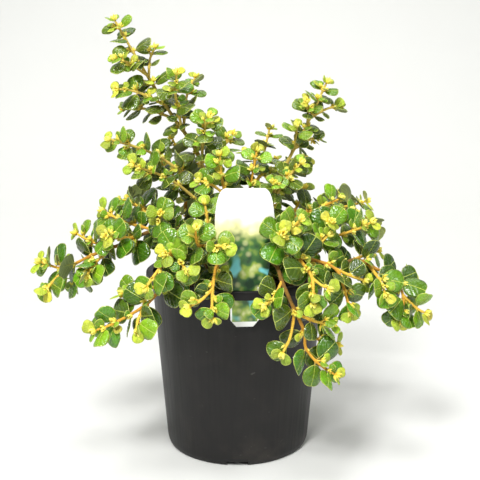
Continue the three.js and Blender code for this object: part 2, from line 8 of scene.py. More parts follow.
import bpy
import numpy as np
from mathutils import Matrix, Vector


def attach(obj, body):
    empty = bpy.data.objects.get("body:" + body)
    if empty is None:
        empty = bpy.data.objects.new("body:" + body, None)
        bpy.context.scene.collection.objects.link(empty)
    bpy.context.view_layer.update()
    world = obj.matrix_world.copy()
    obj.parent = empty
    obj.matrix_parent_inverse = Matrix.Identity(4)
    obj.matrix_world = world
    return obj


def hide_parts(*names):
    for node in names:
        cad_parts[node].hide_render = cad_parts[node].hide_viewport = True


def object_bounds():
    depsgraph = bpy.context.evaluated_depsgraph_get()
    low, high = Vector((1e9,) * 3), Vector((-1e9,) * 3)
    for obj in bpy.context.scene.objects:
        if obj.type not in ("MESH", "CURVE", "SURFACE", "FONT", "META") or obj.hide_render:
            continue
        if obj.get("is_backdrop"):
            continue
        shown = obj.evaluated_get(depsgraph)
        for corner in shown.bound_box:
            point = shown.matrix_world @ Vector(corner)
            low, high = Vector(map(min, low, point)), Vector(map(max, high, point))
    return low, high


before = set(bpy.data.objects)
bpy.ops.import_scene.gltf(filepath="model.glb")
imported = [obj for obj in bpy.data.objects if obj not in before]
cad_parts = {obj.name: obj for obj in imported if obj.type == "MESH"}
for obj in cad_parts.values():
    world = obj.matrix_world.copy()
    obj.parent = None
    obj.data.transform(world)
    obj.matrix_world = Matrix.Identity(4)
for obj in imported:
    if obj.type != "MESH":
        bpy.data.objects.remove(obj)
size_at_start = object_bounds()

MM = 0.001
# Seeds and steps of the random draws, as in the part, and the seeds that only the scene has
LEAF_SEED = 101
SMALL_LEAF_SEED = 301
STEM_SEED = 501
SOIL_SEED = 611
CHIP_SEED = 613
RANDOM_FACTOR = 1664525
RANDOM_STEP = 1013904223
RANDOM_SPAN = 2**32
# Pot, soil and label, as in the part
POT_HEIGHT = 140
POT_TOP_RADIUS = 68
POT_FOOT_RADIUS = 56.5
POT_WALL = 1.4
PART_SIDES = 36
FLOOR_RAISE = 4
FOOT_INSET = 2
BOSS_RADIUS = 12
RIM_RADIUS = 72
RIM_HEIGHT = 6.5
RIM_WALL = 1.3
NOTCH_WIDTH = 16
NOTCH_HEIGHT = 3.5
NOTCH_DEPTH = 16
DRAIN_RADIUS = 4.5
DRAIN_RING = 38
SLOT_WIDTH = 22
SLOT_DEPTH = 1.5
SOIL_TOP = 126
SOIL_GAP = 0.3
FOOT_DEPTH = 14
LABEL_TURN = math.radians(4.4)
LABEL_RADIUS = 68.6
LABEL_TOP = 213
LABEL_BULGE = 189
LABEL_BULGE_HALF = 21
LABEL_LOW = 113.5
SHOULDER_HALF = 13.5
TAIL_HALF = 10.25
TAIL_TOP = 142.5
TAIL_END_HALF = 6
TAIL_BEVEL = 5
# Growth, as in the part
STEP = 2.5
CURVE_STEPS = 12
ATTACH_OVER = 8
ATTACH_COSINE = 0.66
BEND_AT = 0.5
BEND_OUT = 0.1
AXIS_BASE = 0.95
AXIS_PER_LENGTH = 0.0065
AXIS_TIP = 0.85
PAIR_FIRST = 1.2
PAIR_STEP = 4.9
PAIR_GROWTH = 1.25
PAIR_BARE = 12
PAIR_BARE_FOOT = 54
YOUNG_SHARE = 0.5
LEAF_ANGLE_OLD = math.radians(66)
LEAF_ANGLE_YOUNG = math.radians(48)
MAX_TWIST = 1.2
LIGHT_OUT = 0.85
LIGHT_OUT_HIGH = 0.85
LIGHT_NEAREST = 40
LIGHT_UP = 0.6
LIGHT_SHARE = 0.8
LIGHT_FRONT = 0.5
LIGHT_BACK = 90
LIGHT_DEPTH = 120
LIGHT_HIGH = 165
LIGHT_RISE = 70
LIGHT_FLAT = 0.55
LEAF_REACH = 0.62
LEAF_RADIUS = 0.44
LEAF_SHOULDER = 0.21
NEAR_OTHER = 2.0
NEAR_OWN = 1.15
OWN_AXIS_FREE = 4
# Growth, in the scene alone
NEAR_SMALL = (0.8, 0.5)
TIP_SHARE = 0.5
SHOOT_SHARE = 0.75
INNER_LOW = 20
INNER_STEP = 7
SHOOT_LOW = 3
INNER_ANGLE = 1.1
TIP_ANGLE = 0.75
TIP_INSET = 0.4
SHOOT_ALONG = 0.7
SHOOT_OUT = 0.75
SHOOT_LIGHT = 0.2
# Fine forms, in millimetres or in shares of a leaf's length
BLADE_SHARE = 0.85
BLADE_WIDTH = 0.46
BLADE_SKEW = 1.2
BLADE_SQUARENESS = 2.5
BLADE_THICKNESS = 0.42
BLADE_REACH = 0.42
SIDE_VEINS = 5.5
VEIN_SLANT = 2.2
SMALL_LEAF = 9
EDGE_STEPS = 120
RIB_SIDES = 5
GOLDEN_TURN = math.radians(137.5)
TIP_BUD = 5.2
TIP_SCALES = 8
SHOOT_BUD = 3.4
SHOOT_SCALES = 5
AXIL_BUD = 2.2
AXIL_SCALES = 3
AXIL_BUD_SHARE = 0.6
INNER_SCALES = 2
BARK_STEP = 1.25
BARK_SIDES = 9
BARK_OLD = 90
NODE_SWELL = 0.16
NODE_REACH = 1.1
SHOOT_RADII = (0.7, 0.6, 0.55, 0.5)
SHOOT_SIDES = 6
POT_SIDES = 144
CORNER_POINTS = 5
CHAMFER = 1.3
CHAMFER_TOP = 4
CUT_OVER = 3.5
DRAIN_CUT = (-4, 12)
SLOT_CUT = (136, 143)
# How far each corner of the pot's profile is rounded, by its place in the profile
POT_CORNERS = {
    1: 0.6, 2: 0.6, 4: 0.6, 5: 1.4, 6: 1.8, 7: 0.6, 8: 0.5, 9: 0.4, 10: 0.4, 11: 0.9, 12: 0.5, 13: 2.5,
}
SOIL_SIDES = 120
SOIL_RINGS = 36
SOIL_WAVES = (31, 13, 6, 3.1)
SOIL_RELIEF = 1.3
SOIL_SINK = 0.4
CHIPS = 260
CHIP_REACH = 64
STEM_CLEAR = 2.5
LABEL_MIDDLE = 165.0
LABEL_FLARE = (20, 159)
LABEL_TOP_HALF = 13
LABEL_STEPS = 13
LABEL_LAYERS = ((-0.3, 0.15), (-0.18, 0), (0.18, 0), (0.3, 0.15))
SQUARE = ((-1, -1), (1, -1), (1, 1), (-1, 1))
LEADERS = ("stem_left_tall", "stem_right_tall", "stem_back_tall")
# Colours
# Leaf colours by age, from young yellow-green to old dark green. The darkest stops are partly the older
# leaves' own colour and partly painted shade: they are deepened so that leaves inside the bush look shaded.
LEAF_COLORS = [
    (0.0, (0.72, 0.63, 0.06)),
    (0.12, (0.47, 0.53, 0.03)),
    (0.35, (0.22, 0.41, 0.01)),
    (0.65, (0.082, 0.25, 0.006)),
    (1.0, (0.019, 0.068, 0.004)),
]
UNDER_COLORS = [(0.0, (0.52, 0.54, 0.12)), (0.5, (0.31, 0.37, 0.11)), (1.0, (0.19, 0.25, 0.075))]
RIB_COLORS = [(0.0, (0.62, 0.33, 0.06)), (0.25, (0.42, 0.42, 0.10)), (0.7, (0.34, 0.42, 0.12))]
OLIVE = (0.11, 0.15, 0.012, 1)
OLIVE_YOUNG = 0.08
OLIVE_OLD = 0.5
OLIVE_LEADER = 0.3
VEIN = (0.56, 0.66, 0.10, 1)
MARGIN = (0.50, 0.55, 0.10, 1)
BARK_COLORS = [
    (0.0, (0.86, 0.60, 0.08)),
    (0.35, (0.74, 0.40, 0.04)),
    (0.7, (0.52, 0.25, 0.028)),
    (1.0, (0.20, 0.11, 0.025)),
]
LEADER_BARK = (0.60, 0.47, 0.10, 1)
BARK_CRACK = (0.16, 0.08, 0.025, 1)
BUD_COLORS = [(0.0, (0.72, 0.47, 0.035)), (0.35, (0.87, 0.72, 0.08)), (1.0, (0.90, 0.84, 0.19))]
MIX_COLORS = [(0.35, (0.012, 0.008, 0.005)), (0.55, (0.045, 0.027, 0.015)), (0.75, (0.11, 0.07, 0.04))]
CHIP_COLORS = [(0.2, (0.02, 0.011, 0.006)), (0.5, (0.075, 0.04, 0.02)), (0.85, (0.20, 0.12, 0.06))]
POT_BLACK = (0.0105, 0.0098, 0.0095, 1)
POT_DUST = (0.045, 0.038, 0.031, 1)
POT_SCUFF = (0.12, 0.115, 0.11, 1)
PAPER = (0.90, 0.90, 0.87, 1)
PRINT_GLOW = (0.86, 0.82, 0.40, 1)
PRINT_SKY = (0.22, 0.68, 0.70, 1)
PRINT_GREENS = [
    (0.0, (0.012, 0.045, 0.02)),
    (0.4, (0.05, 0.16, 0.03)),
    (0.7, (0.30, 0.42, 0.05)),
    (1.0, (0.78, 0.76, 0.42)),
]
FLOOR_COLORS = ((0.70, 0.705, 0.68, 1), (0.715, 0.72, 0.695, 1))
WORLD_COLOR = (1.0, 1.0, 0.985, 1)
# Studio, in metres
WORLD_STRENGTH = 0.18
FLOOR_REACH = 30
SWEEP_START = 1.2
SWEEP_RADIUS = 0.8
BACKDROP_TOP = 4.0
SUN_DIRECTION = (0.1, 0.25, -1.0)
SUN_STRENGTH = 1.25
SUN_ANGLE = math.radians(16)
LIGHTS = [
    ("key", (-0.3, -0.9, 1.1), (0, 0, 0.17), (0.3, 0.3), 19),
    ("fill", (0.9, -1.0, 0.6), (0, 0, 0.17), (0.3, 0.3), 4),
    ("backdrop", (0.0, 0.8, 1.9), (0, 1.9, 0.5), (2.4, 0.6), 25),
]
CAMERA_PLACE = (0.0019, -0.6282, 0.2854)
CAMERA_AIM = (0.0019, 0.0, 0.1633)
CAMERA_LENS = 61.1
# What a leaf tries till it is clear: more roll, more pitch, and its share of the full size
LEAF_TRIES = [
    (0, 0, 1),
    (0.45, 0, 1),
    (-0.45, 0, 1),
    (0, -0.4, 1),
    (0, 0.4, 1),
    (0.7, -0.3, 0.9),
    (-0.7, -0.3, 0.9),
    (0.5, 0.4, 0.85),
    (-0.5, 0.4, 0.85),
]

# Name, foot, leaf length, route and shoots of each leafy stem. A shoot is a tip, or a route with shoots.
STEMS = [
    ("stem_left_tall", (-7, 3), 17,
     [(-10, 4, 150), (-29, 12, 224), (-52, 20, 260), (-75, 24, 297), (-95, 22, 332)],
     [(-93, 6, 303), (-66, 38, 312), (-46, 2, 293), (-34, 38, 289), (-92, 6, 280), (-91, 36, 264),
      (-97, -10, 243), (-78, -20, 224), (-21, -12, 261), (-3, 28, 244), (-66, 42, 222)]),
    ("stem_right_tall", (10, 5), 16,
     [(11, 6, 150), (21, 16, 183), (40, 22, 223), (53, 26, 247), (71, 28, 286)],
     [(54, 16, 270), (82, 36, 266), (46, 8, 252), (66, 42, 240), (57, 46, 222),
      ([(26, -8, 192), (34, -10, 208), (48, -12, 225)], [(27, -24, 212)])]),
    ("stem_centre", (-1, -9), 17,
     [(0, -9, 155), (10, -3, 207), (15, -2, 234)],
     [(24, 6, 217), ([(-6, -20, 190), (-11, -27, 212), (-13, -30, 233)], [(-28, -32, 214)])]),
    ("stem_back_tall", (4, 17), 16.5,
     [(7, 22, 155), (17, 45, 205), (27, 62, 248)],
     [(6, 60, 228), ([(40, 58, 196), (54, 72, 222)], [(34, 84, 218)])]),
    ("stem_left_long", (-26, -4), 20.5,
     [(-32, -10, 156), (-57, -26, 176), (-87, -38, 167), (-107, -42, 160), (-128, -44, 151),
      (-144, -46, 156)],
     [(-93, -60, 178), (-101, -18, 189), (-121, -28, 174), (-107, -66, 150), (-136, -64, 140),
      (-126, -24, 132), (-56, -46, 191), (-86, 2, 196)]),
    ("stem_left_front", (-21, -22), 20,
     [(-28, -34, 155), (-46, -60, 150), (-62, -78, 134), (-82, -86, 123), (-98, -90, 117)],
     [(-82, -70, 138), (-68, -100, 120),
      ([(-40, -62, 166), (-49, -84, 170)], [(-62, -92, 148), (-34, -92, 160)])]),
    ("stem_front_left", (-8, -31), 18,
     [(-12, -42, 157), (-21, -62, 171), (-27, -82, 176), (-28, -90, 188)],
     [(-8, -97, 178), (-23, -54, 200),
      ([(-15, -76, 158), (-17, -90, 142), (-17, -94, 128)], [(-32, -95, 136)])]),
    ("stem_right_front", (13, -29), 20,
     [(17, -40, 156), (27, -66, 158), (31, -84, 150), (37, -90, 137), (46, -91, 117), (47, -92, 106),
      (55, -95, 96), (67, -97, 88)],
     [(18, -102, 138), (66, -88, 122), (70, -80, 104), (30, -103, 104),
      ([(29, -64, 174), (31, -84, 184)], [(44, -72, 192)])]),
    ("stem_right_inner", (22, -19), 19,
     [(28, -30, 156), (50, -54, 160), (69, -68, 156), (75, -76, 142), (79, -80, 126)],
     [(90, -66, 147), (66, -54, 178), ([(44, -70, 163), (51, -90, 154), (51, -97, 138)], [(62, -94, 148)])]),
    ("stem_right_long", (26, -5), 20.5,
     [(34, -14, 152), (66, -42, 150), (86, -48, 158), (101, -52, 152), (114, -54, 146), (120, -58, 132),
      (118, -62, 115)],
     [(106, -28, 161), (128, -38, 138), (104, -76, 138), (136, -66, 122),
      ([(62, -30, 168), (88, -44, 180), (98, -46, 186)], [(66, -56, 188)])]),
    ("stem_right_upper", (20, 9), 18,
     [(25, 7, 160), (45, -2, 182), (60, -8, 189), (79, -12, 198)],
     [(52, 12, 202), (96, 14, 182)]),
    ("stem_back_left", (-22, 11), 19,
     [(-32, 20, 158), (-70, 50, 178), (-104, 70, 170), (-122, 78, 158)],
     [(-92, 82, 190), (-98, 44, 188), ([(-40, 54, 204), (-56, 72, 238)], [(-68, 52, 224), (-32, 78, 218)])]),
    ("stem_back", (-8, 24), 19,
     [(-11, 36, 158), (-18, 78, 174), (-22, 110, 162), (-24, 126, 146)],
     [(-48, 96, 182), (-54, 78, 158), ([(8, 86, 172), (18, 114, 166)], [(-4, 112, 188)])]),
    ("stem_back_right", (18, 24), 19,
     [(30, 32, 158), (74, 54, 178), (104, 68, 170), (122, 76, 158)],
     [(90, 82, 190), (108, 44, 188), ([(46, 84, 164), (58, 108, 148), (62, 116, 128)], [(82, 96, 142)])]),
]


def make_random(seed):
    state = seed

    def draw():
        nonlocal state
        state = (state * RANDOM_FACTOR + RANDOM_STEP) % RANDOM_SPAN
        return state / RANDOM_SPAN

    return draw


def unit(v):
    return v / math.sqrt(v @ v)


def turned(v, axis, angle):
    cosine = math.cos(angle)
    return v * cosine + np.cross(axis, v) * math.sin(angle) + axis * (axis @ v) * (1 - cosine)


def spun(x, y, turn):
    """A place turned about Z."""
    return x * math.cos(turn) - y * math.sin(turn), x * math.sin(turn) + y * math.cos(turn)


def wall_radius(z):
    return POT_FOOT_RADIUS + (POT_TOP_RADIUS - POT_FOOT_RADIUS) * z / POT_HEIGHT


def inner_radius(z):
    return wall_radius(z) - POT_WALL


# Growth: axes

def curve_point(stations, t):
    last = len(stations) - 1
    p = last * t
    i = math.floor(p)
    weight = p - i
    if weight == 0 and i == last:
        i = last - 1
        weight = 1
    p1, p2 = stations[i], stations[i + 1]
    p0 = stations[i - 1] if i > 0 else 2 * stations[0] - stations[1]
    p3 = stations[i + 2] if i + 2 <= last else 2 * stations[last] - stations[last - 1]
    t0 = 0.5 * (p2 - p0)
    t1 = 0.5 * (p3 - p1)
    c2 = -3 * p1 + 3 * p2 - 2 * t0 - t1
    c3 = 2 * p1 - 2 * p2 + t0 + t1
    return p1 + t0 * weight + c2 * weight * weight + c3 * weight * weight * weight


class Axis:
    """A stem's or shoot's centre line: points in equal steps, each with a sideways direction."""

    def __init__(self, stations, owner, main):
        self.owner = owner
        self.main = main
        count = CURVE_STEPS * (len(stations) - 1)
        fine = [curve_point(stations, i / count) for i in range(count + 1)]
        points = [fine[0]]
        step = STEP
        for i in range(1, len(fine)):
            span = math.dist(fine[i], fine[i - 1])
            while step <= span:
                points.append(fine[i - 1] + (fine[i] - fine[i - 1]) * (step / span))
                step += STEP
            step -= span
        self.points = np.array(points)
        self.length = (len(points) - 1) * STEP
        self.base = AXIS_BASE + AXIS_PER_LENGTH * self.length
        self.sides = []
        side = np.array([1, 0.3, 0.1])
        for i in range(len(points)):
            tangent = self.tangent(i * STEP)
            side = unit(side - tangent * (side @ tangent))
            self.sides.append(side)
        self.radii = np.array([self.radius(i * STEP) for i in range(len(points))])

    def radius(self, along):
        return self.base + (AXIS_TIP - self.base) * along / self.length

    def point(self, along):
        i = min(math.floor(along / STEP), len(self.points) - 2)
        return self.points[i] + (self.points[i + 1] - self.points[i]) * (along / STEP - i)

    def tangent(self, along):
        i = min(max(math.floor(along / STEP + 0.5), 1), len(self.points) - 2)
        return unit(self.points[i + 1] - self.points[i - 1])

    def side(self, along, turn):
        i = min(math.floor(along / STEP + 0.5), len(self.sides) - 1)
        return turned(self.sides[i], self.tangent(along), turn)


def shoot_stations(parent, route):
    first = route[0]
    level = SOIL_TOP + ATTACH_OVER if parent.main else -math.inf
    lowest = int(np.argmax(parent.points[:, 2] > level)) + 1
    at = lowest
    for i in range(lowest, len(parent.points) - 2):
        reach = first - parent.points[i]
        if reach @ parent.tangent(i * STEP) >= ATTACH_COSINE * math.sqrt(reach @ reach):
            at = i
    start = parent.points[at]
    reach = first - start
    middle = start + reach * BEND_AT + parent.tangent(at * STEP) * (BEND_OUT * math.sqrt(reach @ reach))
    return [start, middle, *route]


def grow_axes(owner, foot, route, shoots):
    axes = []

    def grow(stations, below):
        axis = Axis(stations, owner, not axes)
        axes.append(axis)
        for shoot in below:
            way, more = shoot if isinstance(shoot[0], list) else ([shoot], [])
            grow(shoot_stations(axis, [np.array(p, float) for p in way]), more)

    feet = [np.array([*foot, SOIL_TOP - FOOT_DEPTH], float), np.array([*foot, SOIL_TOP + 4], float)]
    grow(feet + [np.array(p, float) for p in route], shoots)
    return axes


# Growth: leaves

class Leaf:
    """A leaf's frame and size, and the disc and points that stand for it in clearance tests."""

    def __init__(self, base, midrib, normal, length):
        self.base = base
        self.midrib = midrib
        self.normal = normal
        self.across = np.cross(normal, midrib)
        self.length = length
        self.centre = base + midrib * (LEAF_REACH * length) - normal * (0.03 * length)
        self.disc = LEAF_RADIUS * length
        ring = []
        for turn in [i * math.pi / 4 for i in range(8)]:
            ahead, aside = self.disc * math.cos(turn), self.disc * math.sin(turn)
            ring.append(self.centre + midrib * ahead + self.across * aside)
        inner = [base + (self.centre - base) * share for share in (0.25, 0.5)]
        shoulder = LEAF_SHOULDER * length
        inner += [base + midrib * shoulder + self.across * (hand * shoulder) for hand in (1, -1)]
        self.samples = np.array([self.centre, *inner, *ring])

    def at(self, x, y, z):
        """Points from their shares of the leaf's length across it, along it and up from it."""
        across, along, up = np.outer(x, self.across), np.outer(y, self.midrib), np.outer(z, self.normal)
        return self.base + self.length * (across + along + up)


def light_at(p):
    high = min(max((p[2] - LIGHT_HIGH) / LIGHT_RISE, 0), 1)
    near = min(max((LIGHT_BACK - p[1]) / LIGHT_DEPTH, 0), 1)
    out = LIGHT_OUT * (1 - LIGHT_OUT_HIGH * high) / max(math.hypot(p[0], p[1]), LIGHT_NEAREST)
    return unit(np.array([p[0] * out, p[1] * out - LIGHT_FRONT * (1 + high) * near, LIGHT_UP]))


def leaf_frame(base, tangent, side, angle, roll_more):
    light = light_at(base)
    midrib = tangent * math.cos(angle) + side * math.sin(angle)
    midrib = unit(midrib - light * (LIGHT_FLAT * (midrib @ light)))
    neutral = unit(tangent - midrib * (tangent @ midrib))
    wanted = unit(light - midrib * (light @ midrib))
    full = math.atan2(np.cross(neutral, wanted) @ midrib, neutral @ wanted)
    roll = LIGHT_SHARE * full + roll_more
    flips = math.floor(roll / math.pi + 0.5)
    twist = max(-MAX_TWIST, min(MAX_TWIST, roll - flips * math.pi))
    return base, midrib, turned(neutral, midrib, flips * math.pi + twist)


def disc_to_points(centre, normal, radius, points):
    offset = points - centre
    height = offset @ normal
    out = np.sqrt(np.maximum(0, (offset * offset).sum(-1) - height * height)) - radius
    return np.hypot(height, np.maximum(0, out))


def discs_cross(a, b):
    def chord(one, other):
        slope = other.normal - one.normal * (other.normal @ one.normal)
        sine2 = max(slope @ slope, 1e-6)
        height = (one.centre - other.centre) @ other.normal
        return one.centre - slope * (height / sine2), one.disc**2 - height**2 / sine2

    middle_a, half_a = chord(a, b)
    middle_b, half_b = chord(b, a)
    if half_a <= 0 or half_b <= 0:
        return False
    return math.dist(middle_a, middle_b) < math.sqrt(half_a) + math.sqrt(half_b)


def leaves_clash(a, b, margin):
    if discs_cross(a, b):
        return True
    return bool(
        (disc_to_points(b.centre, b.normal, b.disc, a.samples) < margin).any()
        or (disc_to_points(a.centre, a.normal, a.disc, b.samples) < margin).any()
    )


def meets_pot(leaf):
    x, y, z = leaf.samples.T
    out = np.hypot(x, y)
    low = (z < SOIL_TOP + 3) & (out < RIM_RADIUS)
    rim = (z < POT_HEIGHT + 2) & (out > wall_radius(z) - 4) & (out < RIM_RADIUS + 2)
    across, ahead = spun(x, y, -LABEL_TURN)
    tag = (np.abs(across) < LABEL_BULGE_HALF + 2) & (z < LABEL_TOP + 2) & (np.abs(ahead + LABEL_RADIUS) < 3)
    return bool((low | rim | tag).any())


class Plant:
    """All axes and leaves, with what the clearance tests need of them as arrays."""

    def __init__(self):
        self.axes = []
        self.leaves = []
        for name, foot, leaf, route, shoots in STEMS:
            self.axes += grow_axes(name, foot, route, shoots)
        self.points = np.concatenate([axis.points for axis in self.axes])
        self.radii = np.concatenate([axis.radii for axis in self.axes])
        self.marks = np.concatenate([np.arange(len(axis.points)) * STEP for axis in self.axes])
        self.which = np.concatenate([np.full(len(axis.points), i) for i, axis in enumerate(self.axes)])
        owners = {stem[0]: i for i, stem in enumerate(STEMS)}
        self.owner_of_point = np.array([owners[self.axes[i].owner] for i in self.which])
        self.owners = owners
        self.centres = np.zeros((0, 3))
        self.lengths = np.zeros(0)

    def meets_axis(self, leaf, along, axis, margins):
        number = self.axes.index(axis)
        near = ((self.points - leaf.centre) ** 2).sum(1) <= (2 * leaf.length) ** 2
        near &= ~((self.which == number) & (np.abs(self.marks - along) < OWN_AXIS_FREE))
        points = self.points[near]
        stalk = np.sqrt(((points - leaf.samples[1]) ** 2).sum(1))
        blade = disc_to_points(leaf.centre, leaf.normal, leaf.disc, points)
        gap = np.minimum(blade, stalk) - self.radii[near]
        own = self.owner_of_point[near] == self.owners[axis.owner]
        return bool((gap < np.where(own, margins[1], margins[0])).any())

    def meets_leaf(self, leaf, owner, margins):
        reach = np.sqrt(((self.centres - leaf.centre) ** 2).sum(1)) <= self.lengths + leaf.length
        return any(
            leaves_clash(leaf, self.leaves[i], margins[1] if self.leaves[i].owner == owner else margins[0])
            for i in np.nonzero(reach)[0]
        )

    def first_clear(self, axis, along, place, angle, length, margins):
        """The leaf at a place, turned, tilted or made smaller until it clears everything else, or None."""
        for roll, pitch, size in LEAF_TRIES:
            leaf = Leaf(*leaf_frame(*place, angle + pitch, roll), length * size)
            if meets_pot(leaf) or self.meets_axis(leaf, along, axis, margins):
                continue
            if not self.meets_leaf(leaf, axis.owner, margins):
                return leaf
        return None

    def place(self, axis, along, turn, angle, length, margins):
        place = (axis.point(along), axis.tangent(along), axis.side(along, turn))
        return self.first_clear(axis, along, place, angle, length, margins)

    def place_on(self, shoot, hand, angle, length):
        place = (shoot.end, shoot.direction, shoot.side * hand)
        return self.first_clear(shoot.axis, shoot.along, place, angle, length, NEAR_SMALL)

    def add(self, leaf, axis, along, **facts):
        leaf.owner = axis.owner
        leaf.axis = axis
        leaf.along = along
        for key, value in facts.items():
            setattr(leaf, key, value)
        self.leaves.append(leaf)
        self.centres = np.vstack([self.centres, leaf.centre])
        self.lengths = np.append(self.lengths, leaf.length)


def add_large_leaves(plant):
    for number, (name, _, leaf_length, _, _) in enumerate(STEMS):
        random = make_random(LEAF_SEED + number)
        for axis in [a for a in plant.axes if a.owner == name]:
            axis.start = random() * math.pi
            bare = PAIR_BARE_FOOT if axis.main else PAIR_BARE
            pair = 1
            while True:
                along = axis.length - PAIR_FIRST - PAIR_STEP * pair - PAIR_GROWTH * pair * pair
                if along < bare:
                    break
                phase = axis.start + (random() - 0.5) * 0.5
                full = leaf_length * (1 - YOUNG_SHARE * math.exp(-pair))
                angle = LEAF_ANGLE_OLD + (LEAF_ANGLE_YOUNG - LEAF_ANGLE_OLD) * math.exp(1 - pair)
                for face in (pair % 4, (pair + 2) % 4):
                    length = full * (0.92 + 0.16 * random())
                    turn = phase + face * math.pi / 2
                    leaf = plant.place(axis, along, turn, angle, length, (NEAR_OTHER, NEAR_OWN))
                    if leaf:
                        plant.add(leaf, axis, along, turn=turn, age=min(1, 0.35 + 0.2 * pair), young=False)
                pair += 1


# Growth: what the scene adds on the same axes

class Shoot:
    """A short side shoot in a leaf's axil: its ends, its direction, a side and the axis that bears it."""

    def __init__(self, axis, along, turn, reach):
        tangent = axis.tangent(along)
        out = axis.side(along, turn)
        self.axis = axis
        self.along = along
        self.start = axis.point(along)
        self.direction = unit(tangent * SHOOT_ALONG + out * SHOOT_OUT + light_at(self.start) * SHOOT_LIGHT)
        self.side = unit(np.cross(self.direction, tangent))
        self.end = self.start + self.direction * reach
        self.reach = reach


def add_inner_leaves(plant, random):
    for axis in plant.axes:
        leaf_length = STEMS[plant.owners[axis.owner]][2]
        along = (PAIR_BARE_FOOT if axis.main else PAIR_BARE) - 2
        low = INNER_LOW if axis.main else SHOOT_LOW
        pair = 0
        while along > low:
            for face in (pair % 2, pair % 2 + 2):
                length = leaf_length * (0.55 + 0.25 * random())
                turn = axis.start + face * math.pi / 2 + (random() - 0.5)
                leaf = plant.place(axis, along, turn, INNER_ANGLE, length, NEAR_SMALL)
                if leaf:
                    # Leaves inside the bush take age 1 and so the darkest leaf colour: partly an old leaf's
                    # own colour, partly painted shade for the inside of the bush.
                    plant.add(leaf, axis, along, turn=turn, age=1, young=False)
            along -= INNER_STEP * (0.8 + 0.4 * random())
            pair += 1


def add_tip_leaves(plant, random):
    for axis in plant.axes:
        leaf_length = STEMS[plant.owners[axis.owner]][2]
        for face in (0, 2):
            length = leaf_length * TIP_SHARE * (0.85 + 0.3 * random())
            turn = axis.start + face * math.pi / 2 + (random() - 0.5) * 0.4
            along = axis.length - TIP_INSET
            leaf = plant.place(axis, along, turn, TIP_ANGLE, length, NEAR_SMALL)
            if leaf:
                plant.add(leaf, axis, along, turn=turn, age=0.12 + 0.2 * random(), young=True)


def add_axil_shoots(plant, random):
    """Short shoots with a pair of small leaves in the axils of large ones. Returns them all."""
    shoots = []
    for leaf in [one for one in plant.leaves if not one.young and one.age > 0.5]:
        if random() > SHOOT_SHARE:
            continue
        shoot = Shoot(leaf.axis, leaf.along, leaf.turn, 1.8 + 2.6 * random())
        for hand in (1, -1):
            length = 5 + 4.5 * random()
            angle = 0.7 + 0.3 * random()
            grown = plant.place_on(shoot, hand, angle, length)
            if grown:
                plant.add(grown, leaf.axis, leaf.along, turn=0, age=0.16 + 0.4 * random(), young=True)
        shoots.append(shoot)
    return shoots


plant = Plant()
add_large_leaves(plant)
draw = make_random(SMALL_LEAF_SEED)
add_tip_leaves(plant, draw)
axil_shoots = add_axil_shoots(plant, draw)
add_inner_leaves(plant, draw)


# Meshes

def make_piece(name, points, faces, materials, face_material=None, attributes=None):
    """A shaded mesh from points in millimetres."""
    data = bpy.data.meshes.new(name)
    data.from_pydata(np.asarray(points, float) * MM, [], faces)
    for key, values in (attributes or {}).items():
        layer = data.attributes.new(key, "FLOAT", "POINT")
        layer.data.foreach_set("value", np.asarray(values, np.float32))
    for look in materials:
        data.materials.append(look)
    if face_material is not None:
        data.polygons.foreach_set("material_index", np.asarray(face_material, np.int32))
    data.shade_smooth()
    data.validate()
    piece = bpy.data.objects.new(name, data)
    bpy.context.scene.collection.objects.link(piece)
    return piece


def stand_for(piece, node):
    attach(piece, "root")
    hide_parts(node)


class Batch:
    """Gathers copies of templates into one mesh."""

    def __init__(self, *names):
        self.points = []
        self.faces = []
        self.looks = []
        self.values = {name: [] for name in names}
        self.count = 0

    def add(self, points, faces, look, **values):
        self.points.append(points)
        self.faces += [[i + self.count for i in face] for face in faces]
        self.looks += [look] * len(faces) if isinstance(look, int) else look
        for name, kept in self.values.items():
            kept.append(np.broadcast_to(values[name], len(points)))
        self.count += len(points)

    def piece(self, name, *materials):
        values = {key: np.concatenate(kept) for key, kept in self.values.items()}
        return make_piece(name, np.concatenate(self.points), self.faces, materials, self.looks, values)


def blade_points(rows, columns):
    """A closed blade's points: s from base to tip, t from edge to edge, and side.
    Side is 1 on top, -1 beneath and 0 on the edge."""
    even = np.linspace(-1, 1, columns + 1)
    across = np.sin(even * math.pi / 2) * 0.35 + even * 0.65
    s, t, side = [0.0], [0.0], [0.0]

    def add_rows(first, last, edge_side, middle_side):
        for r in range(1, rows):
            for j in range(first, last):
                s.append(0.5 - 0.5 * math.cos(math.pi * r / rows))
                t.append(across[j])
                side.append(edge_side if j in (0, columns) else middle_side)

    add_rows(0, columns + 1, 0.0, 1.0)
    s.append(1.0)
    t.append(0.0)
    side.append(0.0)
    add_rows(1, columns, -1.0, -1.0)
    return np.array(s), np.array(t), np.array(side)


def blade_faces(rows, columns):
    """The faces over a blade's points, those on top first."""
    tip = 1 + (rows - 1) * (columns + 1)

    def top(r, j):
        return 0 if r == 0 else tip if r == rows else 1 + (r - 1) * (columns + 1) + j

    def under(r, j):
        if r in (0, rows) or j in (0, columns):
            return top(r, j)
        return tip + 1 + (r - 1) * (columns - 1) + j - 1

    faces = []
    for at in (top, under):
        for r in range(rows):
            for j in range(columns):
                quad = [at(r, j), at(r + 1, j), at(r + 1, j + 1), at(r, j + 1)]
                face = [p for i, p in enumerate(quad) if p != quad[i - 1]]
                faces.append(face if at is top else face[::-1])
    return faces


def half_width(s, wide):
    return wide * np.sqrt(np.maximum(0, 1 - np.abs(2 * s**BLADE_SKEW - 1) ** BLADE_SQUARENESS))


